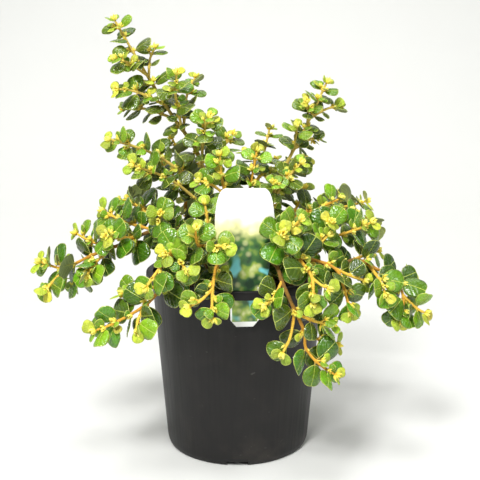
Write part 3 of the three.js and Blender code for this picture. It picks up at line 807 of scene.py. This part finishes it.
class BladeKind:
    """A blade's grid, with each point's distance to the edge for a blade of length 1."""

    def __init__(self, rows, columns):
        self.s, self.t, self.side = blade_points(rows, columns)
        self.faces = blade_faces(rows, columns)
        self.looks = [0] * (len(self.faces) // 2) + [1] * (len(self.faces) // 2)
        fine = 0.5 - 0.5 * np.cos(np.linspace(0, math.pi, EDGE_STEPS))
        wide = half_width(fine, BLADE_WIDTH)
        edge = np.concatenate([np.stack([fine * BLADE_SHARE, hand * wide], 1) for hand in (1, -1)])
        here = np.stack([self.s * BLADE_SHARE, self.t * half_width(self.s, BLADE_WIDTH)], 1)
        self.edge = np.sqrt(((here[:, None] - edge[None]) ** 2).sum(2)).min(1)


class BladeForm:
    """One blade's own form, in shares of its leaf's length."""

    def __init__(self, young, draw):
        self.wide = BLADE_WIDTH * (0.93 + 0.12 * draw())
        self.dome = 0.055 + 0.075 * draw()
        self.crease = 0.012 + 0.02 * draw()
        self.wave = 0.014 * draw()
        self.phase = 6.28 * draw()
        self.curl = 0.055 + 0.085 * draw()
        self.lean = 0.05 * (draw() - 0.5)
        self.pucker = 0.004 if young else 0.009
        self.notch = 0.05 * draw()

    def lift(self, s, x):
        """The height over the leaf's plane at s along the blade and x across it."""
        out = np.abs(x) / BLADE_REACH
        z = 0.035 * np.sin(math.pi * s) - self.curl * s**2 - self.dome * out**2.2
        z = z - self.crease * np.exp(-((out / 0.16) ** 2)) * np.sin(math.pi * np.clip(s, 0, 1)) ** 0.5
        z = z + self.wave * out**3 * np.sin(9 * s + self.phase)
        ribs = np.cos(2 * math.pi * (SIDE_VEINS * s - VEIN_SLANT * np.abs(x) / BLADE_REACH))
        return z + self.pucker * ribs * np.sin(math.pi * np.clip(out, 0, 1))


def olive_share(leaf, draw):
    """How far a leaf's green leans to olive: most on the tall stems' older leaves."""
    if leaf.young:
        return OLIVE_YOUNG * draw()
    return OLIVE_OLD * draw() + (OLIVE_LEADER if leaf.owner in LEADERS else 0)


def add_leaf(batch, leaf, kind, draw):
    """A stalked round blade: domed, creased along the midrib, puckered between its side veins."""
    form = BladeForm(leaf.young, draw)
    shared = {"age": leaf.age, "tone": draw(), "olive": olive_share(leaf, draw)}
    x = kind.t * half_width(kind.s, form.wide) * (1 + 0.04 * np.sin(7 * kind.s + form.phase))
    y = (1 - BLADE_SHARE) + BLADE_SHARE * kind.s
    y = y - form.notch * kind.s**6 * np.exp(-((x / 0.12) ** 2))
    thick = 0.5 * BLADE_THICKNESS / leaf.length * (1 - 0.5 * kind.t**2)
    z = form.lift(kind.s, x) + kind.side * thick
    x = x + form.lean * kind.s**2
    edge = kind.edge * leaf.length
    batch.add(leaf.at(x, y, z), kind.faces, kind.looks, leaf_x=x, leaf_y=y, edge=edge, **shared)
    add_rib(batch, leaf, form, shared)


def add_rib(batch, leaf, form, shared):
    """A leaf's stalk, which runs on along the blade as its midrib."""
    stations = np.array([0, 0.09, 1 - BLADE_SHARE, 0.3, 0.45, 0.62, 0.8])
    radius = np.array([0.036, 0.03, 0.028, 0.022, 0.018, 0.012, 0.005]) * max(1, SMALL_LEAF / leaf.length)
    s = np.clip((stations - (1 - BLADE_SHARE)) / BLADE_SHARE, 0, 1)
    sunk = np.where(s > 0, form.lift(s, s * 0) - 0.5 * radius, -0.2 * radius)
    centres = leaf.at(form.lean * s**2, stations, sunk)
    points, faces = tube(centres, leaf.across, leaf.normal, radius * leaf.length, RIB_SIDES)
    batch.add(points, faces, 2, leaf_x=0, leaf_y=np.repeat(stations, RIB_SIDES), edge=1, **shared)


def wrap(rings, count, first=0):
    """The faces between rings of count points each, which follow the point first."""
    faces = []
    for low in range(first, first + (rings - 1) * count, count):
        for i in range(count):
            j = (i + 1) % count
            faces.append([low + i, low + j, low + count + j, low + count + i])
    return faces


def flat_ended(rings, count):
    """The faces of a body of rings that is closed by a flat face at each end."""
    size = rings * count
    return [list(range(count - 1, -1, -1)), list(range(size - count, size)), *wrap(rings, count)]


def pointed(rings, count):
    """The faces of a body of rings that runs to a point at each end, from point 0 to the last one."""
    last = 1 + rings * count
    faces = wrap(rings, count, 1)
    for i in range(count):
        j = (i + 1) % count
        faces += [[0, 1 + j, 1 + i], [last - count + i, last - count + j, last]]
    return faces


def tube(centres, sides, ups, radii, count):
    """A closed tube: points and faces."""
    sides, ups = np.broadcast_to(sides, centres.shape), np.broadcast_to(ups, centres.shape)
    turn = np.arange(count) * 2 * math.pi / count
    ring = np.cos(turn)[None, :, None] * sides[:, None] + np.sin(turn)[None, :, None] * ups[:, None]
    points = (centres[:, None] + ring * np.asarray(radii)[:, None, None]).reshape(-1, 3)
    faces = flat_ended(len(centres), count)
    if np.cross(sides[0], ups[0]) @ (centres[-1] - centres[0]) < 0:
        faces = [face[::-1] for face in faces]
    return points, faces


def bract_template(rows, columns):
    """A small pointed scale along Y, closed, hollowed a little towards +Z: points and faces."""
    points = [[0, 0, 0]]
    for r in range(1, rows):
        y = r / rows
        full = math.sin(math.pi * y**0.8) ** 0.7
        for i in range(columns):
            turn = 2 * math.pi * i / columns
            points.append([0.5 * full * math.cos(turn), y, 0.3 * full * math.sin(turn) + 0.3 * y * y])
    points.append([0, 1, 0.3])
    return np.array(points, float), [face[::-1] for face in pointed(rows - 1, columns)]


def add_bud(batch, end, direction, side, size, scales, draw):
    """A bud: felted scales that stand round a shoot's end and lean in on it."""
    points, faces = BRACT
    other = np.cross(direction, side)
    start = draw() * math.pi
    for k in range(scales):
        turn = start + k * GOLDEN_TURN
        out = side * math.cos(turn) + other * math.sin(turn)
        tilt = (0.1 + 0.2 * draw()) if k < INNER_SCALES else 0.35 + 0.5 * draw()
        along = direction * math.cos(tilt) + out * math.sin(tilt)
        across = unit(np.cross(along, out))
        inward = np.cross(across, along)
        if inward @ out > 0:
            inward = -inward
        length = size * (0.8 + 0.4 * draw())
        wide = length * (0.42 + 0.16 * draw())
        base = end + out * (0.12 * size) - direction * 0.3
        shape = base + np.outer(points[:, 0] * wide, across)
        shape = shape + np.outer(points[:, 1] * length, along) + np.outer(points[:, 2] * wide, inward)
        batch.add(shape, faces, 0, age=points[:, 1], tone=draw())


def add_bark(batch, axis, nodes, draw):
    """An axis as a round tube that swells at its leaf pairs and isn't quite even."""
    count = max(4, round(axis.length / BARK_STEP))
    along = np.linspace(0, axis.length, count + 1)
    centres = np.array([axis.point(a) for a in along])
    tangents = np.array([axis.tangent(a) for a in along])
    sides = np.array([axis.side(a, 0) for a in along])
    sides -= tangents * (sides * tangents).sum(1)[:, None]
    sides /= np.sqrt((sides**2).sum(1))[:, None]
    radii = np.array([axis.radius(a) for a in along])
    for node in nodes:
        radii = radii * (1 + NODE_SWELL * np.exp(-(((along - node) / NODE_REACH) ** 2)))
    radii = radii * (1 + 0.06 * np.sin(along * 0.9 + 6 * draw()) * np.sin(along * 0.37 + 6 * draw()))
    radii[-1] *= 0.55
    points, faces = tube(centres, sides, np.cross(tangents, sides), radii, BARK_SIDES)
    from_tip = np.repeat(axis.length - along, BARK_SIDES) / BARK_OLD
    age = np.clip(from_tip + (0.25 if axis.main else 0), 0, 1)
    leader = 1 if axis.owner in LEADERS else 0
    batch.add(points, faces, 0, age=age, along=np.repeat(along, BARK_SIDES), tone=draw(), leader=leader)


def add_shoot_bark(batch, shoot, draw):
    stations = np.linspace(0, 1, len(SHOOT_RADII))
    centres = shoot.start + np.outer(stations * shoot.reach, shoot.direction)
    up = np.cross(shoot.direction, shoot.side)
    points, faces = tube(centres, shoot.side, up, SHOOT_RADII, SHOOT_SIDES)
    batch.add(points, faces, 0, age=0.05, along=np.repeat(stations, SHOOT_SIDES), tone=draw(), leader=0)


def make_stem(name, looks):
    """A leafy stem's bark, leaves and young growth."""
    draw = make_random(STEM_SEED + plant.owners[name])
    leaves = [leaf for leaf in plant.leaves if leaf.owner == name]
    wood = Batch("age", "along", "tone", "leader")
    blades = Batch("age", "tone", "olive", "leaf_x", "leaf_y", "edge")
    young = Batch("age", "tone")
    for axis in [axis for axis in plant.axes if axis.owner == name]:
        add_bark(wood, axis, {leaf.along for leaf in leaves if leaf.axis is axis}, draw)
        tip = axis.length
        add_bud(young, axis.point(tip), axis.tangent(tip), axis.sides[-1], TIP_BUD, TIP_SCALES, draw)
    for shoot in [shoot for shoot in axil_shoots if shoot.axis.owner == name]:
        add_shoot_bark(wood, shoot, draw)
        size = SHOOT_BUD + 1.6 * draw()
        add_bud(young, shoot.end, shoot.direction, shoot.side, size, SHOOT_SCALES, draw)
    for leaf in leaves:
        add_leaf(blades, leaf, SMALL_BLADE if leaf.length < SMALL_LEAF else LARGE_BLADE, draw)
        if not leaf.young and draw() < AXIL_BUD_SHARE:
            out = unit(leaf.midrib + leaf.axis.tangent(leaf.along))
            start = leaf.base + out * leaf.axis.radius(leaf.along)
            add_bud(young, start, out, leaf.across, AXIL_BUD + 1.5 * draw(), AXIL_SCALES, draw)
    stand_for(wood.piece(name + "_bark", looks["bark"]), name)
    stand_for(blades.piece(name + "_leaves", looks["upper"], looks["under"], looks["rib"]), name)
    stand_for(young.piece(name + "_buds", looks["bud"]), name)


# The pot, the potting mix and the label

def bend(start, control, end, count):
    """Points of a curve from start to end that leans to a control point."""
    start, control, end = (np.array(p, float) for p in (start, control, end))
    steps = np.linspace(0, 1, count)
    return [start * (1 - t) ** 2 + control * 2 * t * (1 - t) + end * t * t for t in steps]


def rounded(profile, corners):
    """The profile with the corners given as {index: reach} turned into short curves."""
    points = []
    for i, corner in enumerate(profile):
        reach = corners.get(i, 0)
        corner = np.array(corner, float)
        if not reach:
            points.append(corner)
            continue
        before = np.array(profile[i - 1], float) - corner
        after = np.array(profile[(i + 1) % len(profile)], float) - corner
        start = corner + before / math.hypot(*before) * reach
        end = corner + after / math.hypot(*after) * reach
        points += bend(start, corner, end, CORNER_POINTS)
    return points


def lathe(profile, segments):
    """A closed body turned about Z from a profile that starts and ends on the axis."""
    first, *middle, last = profile
    points = [[0, 0, first[1]]]
    for r, z in middle:
        for i in range(segments):
            turn = 2 * math.pi * i / segments
            points.append([r * math.cos(turn), r * math.sin(turn), z])
    points.append([0, 0, last[1]])
    return points, pointed(len(middle), segments)


def prism(ring, low, high):
    """An upright body over a ring of (x, y): points and faces."""
    return [[x, y, z] for z in (low, high) for x, y in ring], flat_ended(2, len(ring))


def block(width, depth, low, high, turn, out):
    """A box with its middle out from Z at a turn from -Y."""
    return prism([spun(x * width / 2, y * depth / 2 - out, turn) for x, y in SQUARE], low, high)


def round_bar(radius, low, high, x, y):
    turns = [i * math.pi / 12 for i in range(24)]
    return prism([(x + radius * math.cos(turn), y + radius * math.sin(turn)) for turn in turns], low, high)


def cut(body, tools):
    """Cuts tools, given as (points, faces), out of a mesh object."""
    for points, faces in tools:
        tool = make_piece("cutter", points, faces, [])
        step = body.modifiers.new("cut", "BOOLEAN")
        step.operation = "DIFFERENCE"
        step.solver = "EXACT"
        step.object = tool
        bpy.context.view_layer.update()
        result = bpy.data.meshes.new_from_object(body.evaluated_get(bpy.context.evaluated_depsgraph_get()))
        body.modifiers.clear()
        old = body.data
        body.data = result
        bpy.data.meshes.remove(old)
        bpy.data.objects.remove(tool)


def pot_profile():
    foot = inner_radius(0) - FOOT_INSET
    rim_under = POT_HEIGHT - RIM_WALL
    rim_low = POT_HEIGHT - RIM_HEIGHT
    floor_top = FLOOR_RAISE + POT_WALL
    profile = [
        (0, 0),
        (BOSS_RADIUS, 0),
        (BOSS_RADIUS, FLOOR_RAISE),
        (foot, FLOOR_RAISE),
        (foot, 0),
        (wall_radius(0) - CHAMFER, 0),
        (wall_radius(CHAMFER_TOP), CHAMFER_TOP),
        (wall_radius(rim_under), rim_under),
        (RIM_RADIUS - RIM_WALL, rim_under),
        (RIM_RADIUS - RIM_WALL, rim_low),
        (RIM_RADIUS, rim_low),
        (RIM_RADIUS, POT_HEIGHT),
        (inner_radius(POT_HEIGHT), POT_HEIGHT),
        (inner_radius(floor_top), floor_top),
        (0, floor_top),
    ]
    return rounded(profile, POT_CORNERS)


def make_pot(look):
    pot = make_piece("pot_shell", *lathe(pot_profile(), POT_SIDES), [look])
    tools = []
    for i in range(4):
        turn = i * math.pi / 2
        tools.append(block(NOTCH_WIDTH, NOTCH_DEPTH, -CUT_OVER, NOTCH_HEIGHT, turn, wall_radius(0)))
    for i in range(4):
        x, y = spun(DRAIN_RING, 0, (i + 0.5) * math.pi / 2)
        tools.append(round_bar(DRAIN_RADIUS, *DRAIN_CUT, x, y))
    tools.append(block(SLOT_WIDTH, SLOT_DEPTH, *SLOT_CUT, LABEL_TURN, LABEL_RADIUS))
    cut(pot, tools)
    pot.data.materials.clear()
    pot.data.materials.append(look)
    pot.data.shade_smooth()
    pot.data.set_sharp_from_angle(angle=math.radians(32))
    stand_for(pot, "pot")


def bumps(x, y, waves, draw):
    """A smooth random surface: a sum of plane waves of given lengths."""
    height = np.zeros_like(x)
    for wave in waves:
        for _ in range(4):
            turn, phase = draw() * 2 * math.pi, draw() * 2 * math.pi
            height += np.sin((x * math.cos(turn) + y * math.sin(turn)) * 2 * math.pi / wave + phase) * wave
    return height / sum(waves) / 2


def mix_radius(z):
    """The potting mix's radius, just inside the part's wall of flat sides."""
    return inner_radius(z) * math.cos(math.pi / PART_SIDES) - SOIL_GAP


def make_potting_mix(look):
    bottom = FLOOR_RAISE + POT_WALL + SOIL_GAP
    profile = [(0, bottom), (mix_radius(bottom), bottom), (mix_radius(SOIL_TOP - 1), SOIL_TOP - 1)]
    profile += [(mix_radius(SOIL_TOP) * k / SOIL_RINGS, SOIL_TOP) for k in range(SOIL_RINGS, 0, -1)]
    points, faces = lathe(profile + [(0, SOIL_TOP)], SOIL_SIDES)
    points = np.array(points, float)
    top = points[:, 2] > SOIL_TOP - 0.5
    relief = bumps(points[top, 0], points[top, 1], SOIL_WAVES, make_random(SOIL_SEED))
    points[top, 2] += SOIL_RELIEF * relief - SOIL_SINK
    mix = make_piece("potting_mix", points, faces, [look])
    mix.data.set_sharp_from_angle(angle=math.radians(50))
    stand_for(mix, "soil")


def make_chips(look):
    """Bark chips that lie on the potting mix, clear of the stems."""
    draw = make_random(CHIP_SEED)
    chips = Batch("tone")
    corners, faces = prism(SQUARE, -1, 1)
    corners = np.array(corners, float)
    feet = np.array([stem[1] for stem in STEMS], float)
    while len(chips.points) < CHIPS:
        out, turn = CHIP_REACH * math.sqrt(draw()), draw() * 2 * math.pi
        middle = np.array([out * math.cos(turn), out * math.sin(turn), SOIL_TOP + 0.5 + 0.9 * draw()])
        half = np.array([1.2 + 3.2 * draw() ** 2, 0.7 + 1.6 * draw(), 0.4 + 0.6 * draw()])
        clear_of_stems = np.hypot(*(feet - middle[:2]).T).min() >= half[0] + STEM_CLEAR
        if out + half[0] > CHIP_REACH - 2 or not clear_of_stems:
            continue
        spin, tip = draw() * math.pi, 0.5 * (draw() - 0.5)
        worn = np.array([draw() for _ in range(24)]).reshape(8, 3) - 0.5
        shape = corners * half * (1 + 0.35 * worn)
        shape[:, 0] *= 1 - 0.3 * (corners[:, 1] + 1) * draw()
        z = shape[:, 2] * math.cos(tip) + shape[:, 0] * math.sin(tip)
        x, y = spun(shape[:, 0], shape[:, 1], spin)
        chips.add(middle + np.stack([x, y, z], 1), faces, 0, tone=draw())
    piece = chips.piece("bark_chips", look)
    piece.data.set_sharp_from_angle(angle=math.radians(25))
    step = piece.modifiers.new("worn_edges", "BEVEL")
    step.width = 0.25 * MM
    step.segments = 1
    stand_for(piece, "soil")


def label_outline():
    """The tag's outline in its own plane, from the tail's end round: (across, height)."""
    shoulder = (SHOULDER_HALF, TAIL_TOP)
    bulge = (LABEL_BULGE_HALF, LABEL_BULGE)
    right = [(TAIL_END_HALF, LABEL_LOW), (TAIL_HALF, LABEL_LOW + TAIL_BEVEL), (TAIL_HALF, TAIL_TOP), shoulder]
    right += bend(shoulder, LABEL_FLARE, bulge, LABEL_STEPS)[1:]
    right += bend(bulge, (LABEL_FLARE[0], LABEL_TOP), (LABEL_TOP_HALF, LABEL_TOP), LABEL_STEPS)[1:]
    return [tuple(p) for p in right] + [(-x, z) for x, z in reversed(right)]


def make_label(look):
    outline = label_outline()
    points = []
    flat = []
    for depth, inset in LABEL_LAYERS:
        for x, z in outline:
            inward = np.array([0, LABEL_MIDDLE]) - (x, z)
            inward = inward / math.hypot(*inward) * inset
            x, z = x + inward[0], z + inward[1]
            points.append([*spun(x, depth - LABEL_RADIUS, LABEL_TURN), z])
            flat.append((x, z))
    faces = [face[::-1] for face in flat_ended(len(LABEL_LAYERS), len(outline))]
    tag_x, tag_z = np.array(flat).T
    piece = make_piece("plant_label", points, faces, [look], attributes={"tag_x": tag_x, "tag_z": tag_z})
    piece.data.set_sharp_from_angle(angle=math.radians(40))
    stand_for(piece, "label")


# Materials

class Wire:
    """A node's output in a look. Plain arithmetic on it adds the nodes that work it out."""

    def __init__(self, look, socket):
        self.look = look
        self.socket = socket

    def __add__(self, other):
        return self.look.math("ADD", self, other)

    def __sub__(self, other):
        return self.look.math("SUBTRACT", self, other)

    def __mul__(self, other):
        return self.look.math("MULTIPLY", self, other)

    def __abs__(self):
        return self.look.math("ABSOLUTE", self)


class Look:
    """A material's node tree, with short ways to add what the looks here need."""

    def __init__(self, name):
        self.material = bpy.data.materials.new(name)
        self.material.use_nodes = True
        self.tree = self.material.node_tree
        self.shader = self.tree.nodes["Principled BSDF"]

    def node(self, kind, output, inputs, **settings):
        """Adds a node with its inputs set or joined, and gives the output named."""
        node = self.tree.nodes.new("ShaderNode" + kind)
        for key, value in settings.items():
            setattr(node, key, value)
        for key, value in inputs.items():
            self.put(node.inputs[key], value)
        return Wire(self, node.outputs[output])

    def put(self, socket, value):
        if isinstance(value, Wire):
            self.tree.links.new(value.socket, socket)
        else:
            socket.default_value = value

    def set(self, **values):
        for key, value in values.items():
            self.put(self.shader.inputs[key.replace("_", " ")], value)

    def value(self, name):
        return self.node("Attribute", "Fac", {}, attribute_name=name)

    def math(self, operation, a, b=0.0):
        return self.node("Math", 0, {0: a, 1: b}, operation=operation)

    def span(self, value, low, high, to_low=0.0, to_high=1.0, smooth=True):
        """The value's place between low and high, as a number between to_low and to_high."""
        inputs = {"Value": value, "From Min": low, "From Max": high, "To Min": to_low, "To Max": to_high}
        kind = "SMOOTHSTEP" if smooth else "LINEAR"
        return self.node("MapRange", "Result", inputs, interpolation_type=kind, clamp=True)

    def vary(self, noise, low, high):
        """A noise's usual reach spread between low and high."""
        return self.span(noise, 0.3, 0.7, low, high)

    def mix(self, factor, a, b):
        return self.node("Mix", 2, {0: factor, 6: a, 7: b}, data_type="RGBA")

    def ramp(self, factor, stops):
        color = self.node("ValToRGB", "Color", {"Fac": factor})
        elements = color.socket.node.color_ramp.elements
        while len(elements) < len(stops):
            elements.new(0.5)
        for element, (at, stop) in zip(elements, stops):
            element.position = at
            element.color = (*stop, 1)
        return color

    def place(self):
        return self.node("TexCoord", "Object", {})

    def noise(self, vector, scale, detail=2.0):
        return self.node("TexNoise", "Fac", {"Vector": vector, "Scale": scale, "Detail": detail})

    def cells(self, vector, scale, feature="F1"):
        return self.node("TexVoronoi", "Distance", {"Vector": vector, "Scale": scale}, feature=feature)

    def vector(self, x, y, z=0.0):
        return self.node("CombineXYZ", "Vector", {"X": x, "Y": y, "Z": z})

    def bump(self, height, distance, strength):
        inputs = {"Height": height, "Distance": distance, "Strength": strength}
        return self.node("Bump", "Normal", inputs)

    def shade(self, color, amount):
        """The color made lighter or darker by a number about 1."""
        return self.node("VectorMath", 0, {0: color, "Scale": amount}, operation="SCALE")


class LeafPattern:
    """What both sides of a leaf share: its own place in the noise, its edge and its vein lines."""

    def __init__(self, look):
        x, y = look.value("leaf_x"), look.value("leaf_y")
        self.tone = look.value("tone")
        self.edge = look.value("edge")
        self.own = self.tone * 37.0
        self.flat = look.vector(x, y, self.own)
        wobble = (look.noise(self.flat, 5.0) - 0.5) * 0.05
        out = abs(x + wobble * 0.3)
        slope = y + wobble - out * 0.8
        self.between = look.math("PINGPONG", slope * SIDE_VEINS, 0.5)
        self.side_vein = look.span(self.between, 0.0, 0.09, 1.0, 0.0) * look.span(self.edge, 0.3, 1.6)
        self.midrib = look.span(out, 0.006, 0.022, 1.0, 0.0)


def leaf_upper():
    look = Look("leaf_upper")
    leaf = LeafPattern(look)
    age = look.value("age") + (leaf.tone - 0.5) * 0.3
    color = look.ramp(age, LEAF_COLORS)
    color = look.shade(color, look.vary(look.noise(leaf.flat, 3.0, 3.0), 0.8, 1.2))
    own_shade = look.math("PINGPONG", leaf.own, 1.0)
    color = look.shade(color, look.span(own_shade, 0.0, 1.0, 0.72, 1.3, smooth=False))
    color = look.mix(look.value("olive"), color, OLIVE)
    color = look.mix(leaf.side_vein * 0.12, color, VEIN)
    color = look.mix(leaf.midrib * 0.8, color, VEIN)
    color = look.mix(look.span(leaf.edge, 0.22, 0.62, 0.85, 0.0), color, MARGIN)
    domes = look.span(look.cells(leaf.flat, 9.0, "DISTANCE_TO_EDGE"), 0.0, 0.4)
    pillows = look.span(leaf.between, 0.0, 0.42)
    height = domes * 0.25 + pillows * 0.25 + leaf.midrib * -0.5 + look.noise(leaf.flat, 4.0, 0.5) * 1.7
    gloss = look.span(look.noise(leaf.flat, 6.0), 0.35, 0.7, 0.2, 0.32) + look.span(age, 0.2, 0.5, 0.3, 0.0)
    look.set(
        Base_Color=color, Roughness=gloss, Normal=look.bump(height, 0.0005, 1.0), Specular_IOR_Level=0.6,
        Subsurface_Weight=0.08, Subsurface_Radius=(0.6, 1.0, 0.2), Subsurface_Scale=0.0008,
    )
    return look.material


def leaf_under():
    look = Look("leaf_under")
    leaf = LeafPattern(look)
    felt = look.noise(leaf.flat, 60.0)
    color = look.shade(look.ramp(look.value("age"), UNDER_COLORS), look.vary(felt, 0.85, 1.15))
    color = look.mix(leaf.side_vein * 0.4, color, VEIN)
    height = leaf.side_vein * 0.8 + felt * 0.5
    look.set(
        Base_Color=color, Roughness=0.8, Normal=look.bump(height, 0.0003, 0.8), Specular_IOR_Level=0.3,
        Sheen_Weight=0.25, Sheen_Roughness=0.5,
    )
    return look.material


def leaf_rib():
    look = Look("leaf_rib")
    felt = look.noise(look.place(), 2500.0)
    color = look.shade(look.ramp(look.value("leaf_y"), RIB_COLORS), look.vary(felt, 0.8, 1.2))
    look.set(Base_Color=color, Roughness=0.75, Normal=look.bump(felt, 0.0002, 0.6), Specular_IOR_Level=0.3)
    return look.material


def bark():
    look = Look("felted_bark")
    place = look.place()
    felt = look.noise(place, 2600.0, 3.0)
    blotch = look.noise(place, 160.0, 3.0)
    color = look.ramp(look.value("age") + (blotch - 0.5) * 0.5, BARK_COLORS)
    color = look.mix(look.value("leader") * 0.85, color, LEADER_BARK)
    color = look.shade(color, look.vary(felt, 0.72, 1.25))
    cracks = look.noise(look.vector(look.value("along"), blotch, look.value("tone")), 3.0, 3.0)
    color = look.mix(look.span(cracks, 0.58, 0.72, 0.0, 0.5), color, BARK_CRACK)
    look.set(
        Base_Color=color, Roughness=0.85, Normal=look.bump(felt + cracks * 0.8, 0.0003, 0.8),
        Specular_IOR_Level=0.25, Sheen_Weight=0.15, Sheen_Roughness=0.4, Sheen_Tint=(1.0, 0.7, 0.3, 1),
    )
    return look.material


def bud():
    look = Look("felted_bud")
    felt = look.noise(look.place(), 3000.0)
    color = look.ramp(look.value("age") + (look.value("tone") - 0.5) * 0.7, BUD_COLORS)
    look.set(
        Base_Color=look.shade(color, look.vary(felt, 0.82, 1.18)), Roughness=0.8,
        Normal=look.bump(felt, 0.00025, 0.8), Specular_IOR_Level=0.3, Sheen_Weight=0.15, Sheen_Roughness=0.4,
        Sheen_Tint=(1.0, 0.85, 0.35, 1), Subsurface_Weight=0.1, Subsurface_Radius=(1.0, 0.8, 0.2),
        Subsurface_Scale=0.0008,
    )
    return look.material


def pot_plastic():
    """Black plastic with faint drawn lines, dust towards the foot and a few scuffs."""
    look = Look("pot_plastic")
    place = look.place()
    x, y, height = (look.node("SeparateXYZ", part, {0: place}) for part in "XYZ")
    turn = look.math("ARCTAN2", y, x)
    drawn = look.noise(look.vector(turn * 30.0, height * 14.0), 1.0, 4.0)
    fine = look.noise(place, 1400.0, 3.0)
    dust = look.noise(place, 45.0, 5.0)
    scuff = look.noise(look.vector(turn * 9.0, height * 260.0), 1.0, 3.0)
    scuff = look.span(scuff, 0.66, 0.76) * look.span(dust, 0.5, 0.62)
    low = look.span(height, 0.0, 0.03, 1.0, 0.0)
    color = look.mix(look.span(dust, 0.45, 0.75) * (low * 0.5 + 0.12), POT_BLACK, POT_DUST)
    color = look.mix(scuff * 0.35, color, POT_SCUFF)
    relief = look.bump(drawn * 0.8 + fine * 0.35, 0.00012, 0.5)
    look.set(Base_Color=color, Roughness=look.vary(drawn, 0.42, 0.54) + scuff * 0.2)
    look.set(Normal=relief, Specular_IOR_Level=0.28)
    return look.material


def potting_mix(name, chips):
    look = Look(name)
    place = look.place()
    grain = look.noise(place, 420.0, 6.0)
    amount = grain * 0.7 + look.noise(place, 90.0, 3.0) * 0.3
    if chips:
        amount = amount * 0.45 + look.value("tone") * 0.55
    color = look.ramp(amount, CHIP_COLORS if chips else MIX_COLORS)
    streak = look.noise(look.node("Mapping", 0, {0: place, "Scale": (1.0, 0.25, 1.0)}), 900.0, 4.0)
    relief = look.bump(grain + streak * 0.5, 0.0009, 0.9)
    look.set(Base_Color=color, Roughness=0.9, Normal=relief, Specular_IOR_Level=0.25)
    return look.material


def label_print():
    """A white glossy tag with soft out-of-focus foliage printed on its lower part, and a white border."""
    look = Look("label_print")
    x, z = look.value("tag_x"), look.value("tag_z")
    soft = look.noise(look.vector(x, 3.0, z), 0.11, 1.5)
    broad = look.noise(look.vector(x, 41.0, z), 0.07, 1.0)
    leafy = look.ramp(look.span(soft, 0.3, 0.72, smooth=False), PRINT_GREENS)
    spots = look.cells(look.vector(x, 9.0, z), 0.14)
    leafy = look.mix(look.span(spots, 0.1, 0.42, 0.4, 0.0), leafy, PRINT_GLOW)
    sky = look.span(broad, 0.56, 0.66) * look.span(z, 172.0, 158.0)
    leafy = look.mix(sky, leafy, PRINT_SKY)
    edge_of_print = z + (soft - 0.5) * 22.0
    color = look.mix(look.span(edge_of_print, 196.0, 184.0), PAPER, PRINT_GLOW)
    color = look.mix(look.span(edge_of_print, 188.0, 174.0), color, leafy)
    border = look.math("MAXIMUM", look.span(abs(x), 9.0, 9.2), look.span(z, 117.4, 117.1))
    color = look.mix(border * look.span(z, 142.6, 142.4), color, PAPER)
    grain = look.noise(look.place(), 900.0)
    look.set(
        Base_Color=color, Roughness=look.vary(grain, 0.28, 0.36), Normal=look.bump(grain, 0.00003, 0.5),
        Specular_IOR_Level=0.5,
    )
    return look.material


# Stage: floor, lights and camera

def make_stage():
    """A pale floor that sweeps up into a backdrop."""
    profile = [(-FLOOR_REACH, 0.0), (SWEEP_START, 0.0)]
    for turn in np.linspace(0.1, math.pi / 2, 12):
        out, down = SWEEP_RADIUS * math.sin(turn), SWEEP_RADIUS * math.cos(turn)
        profile.append((SWEEP_START + out, SWEEP_RADIUS - down))
    profile.append((SWEEP_START + SWEEP_RADIUS, BACKDROP_TOP))
    points = [[x / MM, y / MM, z / MM] for y, z in profile for x in (-FLOOR_REACH, FLOOR_REACH)]
    faces = [[2 * i, 2 * i + 1, 2 * i + 3, 2 * i + 2] for i in range(len(profile) - 1)]
    look = Look("pale_floor")
    look.set(Base_Color=look.mix(look.noise(look.place(), 6.0), *FLOOR_COLORS), Roughness=0.7)
    floor = make_piece("floor", points, faces, [look.material])
    floor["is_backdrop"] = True


def aim(thing, at):
    direction = Vector(at) - thing.location
    thing.rotation_euler = direction.to_track_quat("-Z", "Y").to_euler()


def add_light(name, kind, place, at, power):
    data = bpy.data.lights.new(name, kind)
    data.energy = power
    light = bpy.data.objects.new(name, data)
    light.location = place
    bpy.context.scene.collection.objects.link(light)
    aim(light, at)
    return data


def make_lights():
    world = bpy.data.worlds.new("studio")
    bpy.context.scene.world = world
    world.use_nodes = True
    background = world.node_tree.nodes["Background"]
    background.inputs["Color"].default_value = WORLD_COLOR
    background.inputs["Strength"].default_value = WORLD_STRENGTH
    add_light("sky", "SUN", (0, 0, 0), SUN_DIRECTION, SUN_STRENGTH).angle = SUN_ANGLE
    for name, place, at, size, power in LIGHTS:
        data = add_light(name, "AREA", place, at, power)
        data.shape = "RECTANGLE"
        data.size, data.size_y = size


def make_camera():
    data = bpy.data.cameras.new("camera")
    data.sensor_width = 36
    data.lens = CAMERA_LENS
    camera = bpy.data.objects.new("camera", data)
    camera.location = CAMERA_PLACE
    bpy.context.scene.collection.objects.link(camera)
    aim(camera, CAMERA_AIM)
    bpy.context.scene.camera = camera


bpy.context.scene.view_settings.view_transform = "Standard"
SMALL_BLADE = BladeKind(8, 6)
LARGE_BLADE = BladeKind(16, 8)
BRACT = bract_template(5, 6)
stem_looks = {"upper": leaf_upper(), "under": leaf_under(), "rib": leaf_rib(), "bark": bark(), "bud": bud()}
for stem_name, *_ in STEMS:
    make_stem(stem_name, stem_looks)
make_pot(pot_plastic())
make_potting_mix(potting_mix("potting_mix", False))
make_chips(potting_mix("bark_chips", True))
make_label(label_print())
make_stage()
make_lights()
make_camera()

boxes = {"cad": size_at_start, "visual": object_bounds()}
{key: [list(corner) for corner in value] for key, value in boxes.items()}
